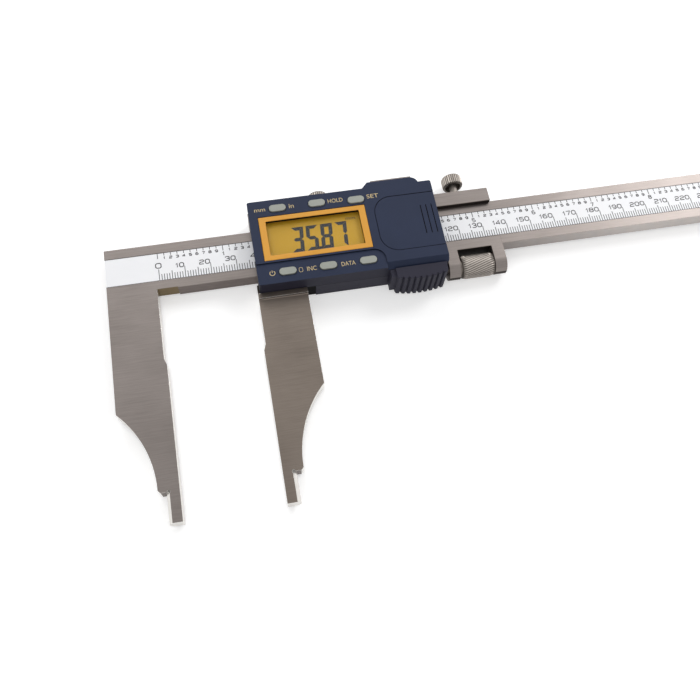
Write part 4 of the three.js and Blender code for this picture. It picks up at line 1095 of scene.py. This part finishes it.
def powerSign(sheet, z):
    # an open ring with a bar in its gap
    look = powerLook
    x, y = look["place"]
    gap = math.radians(look["opening"])
    sweep = 2 * math.pi - 2 * gap
    for step in range(look["steps"]):
        first = math.pi / 2 + gap + sweep * step / look["steps"]
        last = math.pi / 2 + gap + sweep * (step + 1) / look["steps"]
        ring = [
            (look["inner"], first), (look["outer"], first), (look["outer"], last),
            (look["inner"], last),
        ]
        outline = []
        for radius, angle in ring:
            place = atMoving(x + radius * math.cos(angle), y + radius * math.sin(angle), z)
            outline.append((place.x, place.y))
        sheet.plate(outline, atMoving(0, 0, z).z)
    half = look["barWidth"] / 2
    barLow = atMoving(x - half, y + look["barLow"], z)
    sheet.bar(barLow, atMoving(x + half, y + look["barHigh"], z))


makeLegends()
print("legends printed")


# floor, world and lamps
floorLook = {"size": 6.0, "dark": 0.86, "light": 0.88, "lift": 0.42}
worldLight = 0.5  # on the object; the background itself shows at 1


def makeFloor():
    look = floorLook
    bpy.ops.object.select_all(action="DESELECT")
    bpy.ops.mesh.primitive_plane_add(size=look["size"], location=(0, 0, 0))
    floor = bpy.context.object
    floor.name = "floor"
    finish = Finish("paleFloor")
    soft = finish.noise(finish.objectPlace(), 3.0, 2.0)
    dark, light = [(look[key],) * 3 + (1,) for key in ("dark", "light")]
    colour = finish.blend(soft, dark, light)
    base = finish.node("ShaderNodeBsdfDiffuse", {}, {"Color": colour})
    # the camera and glossy rays see the floor brighter than it lights the object
    cameraRay = finish.node("ShaderNodeLightPath", output=0)
    glossyRay = finish.node("ShaderNodeLightPath", output=3)
    lift = (cameraRay + glossyRay).clamped() * look["lift"]
    glow = finish.node("ShaderNodeEmission", {}, {"Color": (1, 1, 1, 1), "Strength": lift})
    both = finish.node("ShaderNodeAddShader", {}, {0: base, 1: glow})
    finish.node("ShaderNodeOutputMaterial", {}, {"Surface": both})
    floor.data.materials.append(finish.material)


def makeWorld():
    world = bpy.data.worlds.new("studio")
    bpy.context.scene.world = world
    world.use_nodes = True
    tree = world.node_tree
    tree.nodes.clear()
    path = tree.nodes.new("ShaderNodeLightPath")
    addGlossy = tree.nodes.new("ShaderNodeMath")
    addClear = tree.nodes.new("ShaderNodeMath")
    tree.links.new(path.outputs["Is Camera Ray"], addGlossy.inputs[0])
    tree.links.new(path.outputs["Is Glossy Ray"], addGlossy.inputs[1])
    tree.links.new(addGlossy.outputs[0], addClear.inputs[0])
    tree.links.new(path.outputs["Is Transmission Ray"], addClear.inputs[1])
    strength = tree.nodes.new("ShaderNodeMapRange")
    strength.inputs["To Min"].default_value = worldLight
    strength.inputs["To Max"].default_value = 1.0
    tree.links.new(addClear.outputs[0], strength.inputs["Value"])
    background = tree.nodes.new("ShaderNodeBackground")
    background.inputs["Color"].default_value = (1, 1, 1, 1)
    tree.links.new(strength.outputs[0], background.inputs["Strength"])
    output = tree.nodes.new("ShaderNodeOutputWorld")
    tree.links.new(background.outputs[0], output.inputs["Surface"])


lamps = {
    "backLamp": {
        "place": (-0.35, 1.15, 0.62), "aim": (-0.1, 0.02, 0), "size": 1.1, "power": 8.5,
    },
    "sideLamp": {
        "place": (0.70, 0.56, 0.84), "aim": (0.0, 0.03, 0), "size": 0.5, "power": 4.4,
    },
    "fillLamp": {
        "place": (-0.9, -0.8, 0.75), "aim": (-0.12, 0, 0), "size": 1.2, "power": 2.2,
    },
}


def makeLamps():
    for name, lamp in lamps.items():
        data = bpy.data.lights.new(name, "AREA")
        data.shape = "DISK"
        data.size = lamp["size"]
        data.energy = lamp["power"]
        made = bpy.data.objects.new(name, data)
        made.location = lamp["place"]
        aim = Vector(lamp["aim"]) - Vector(lamp["place"])
        made.rotation_euler = aim.to_track_quat("-Z", "Y").to_euler()
        bpy.context.scene.collection.objects.link(made)


makeFloor()
makeWorld()
makeLamps()
bpy.context.scene.view_settings.view_transform = "Standard"
print("stage set")

bpy.context.view_layer.update()
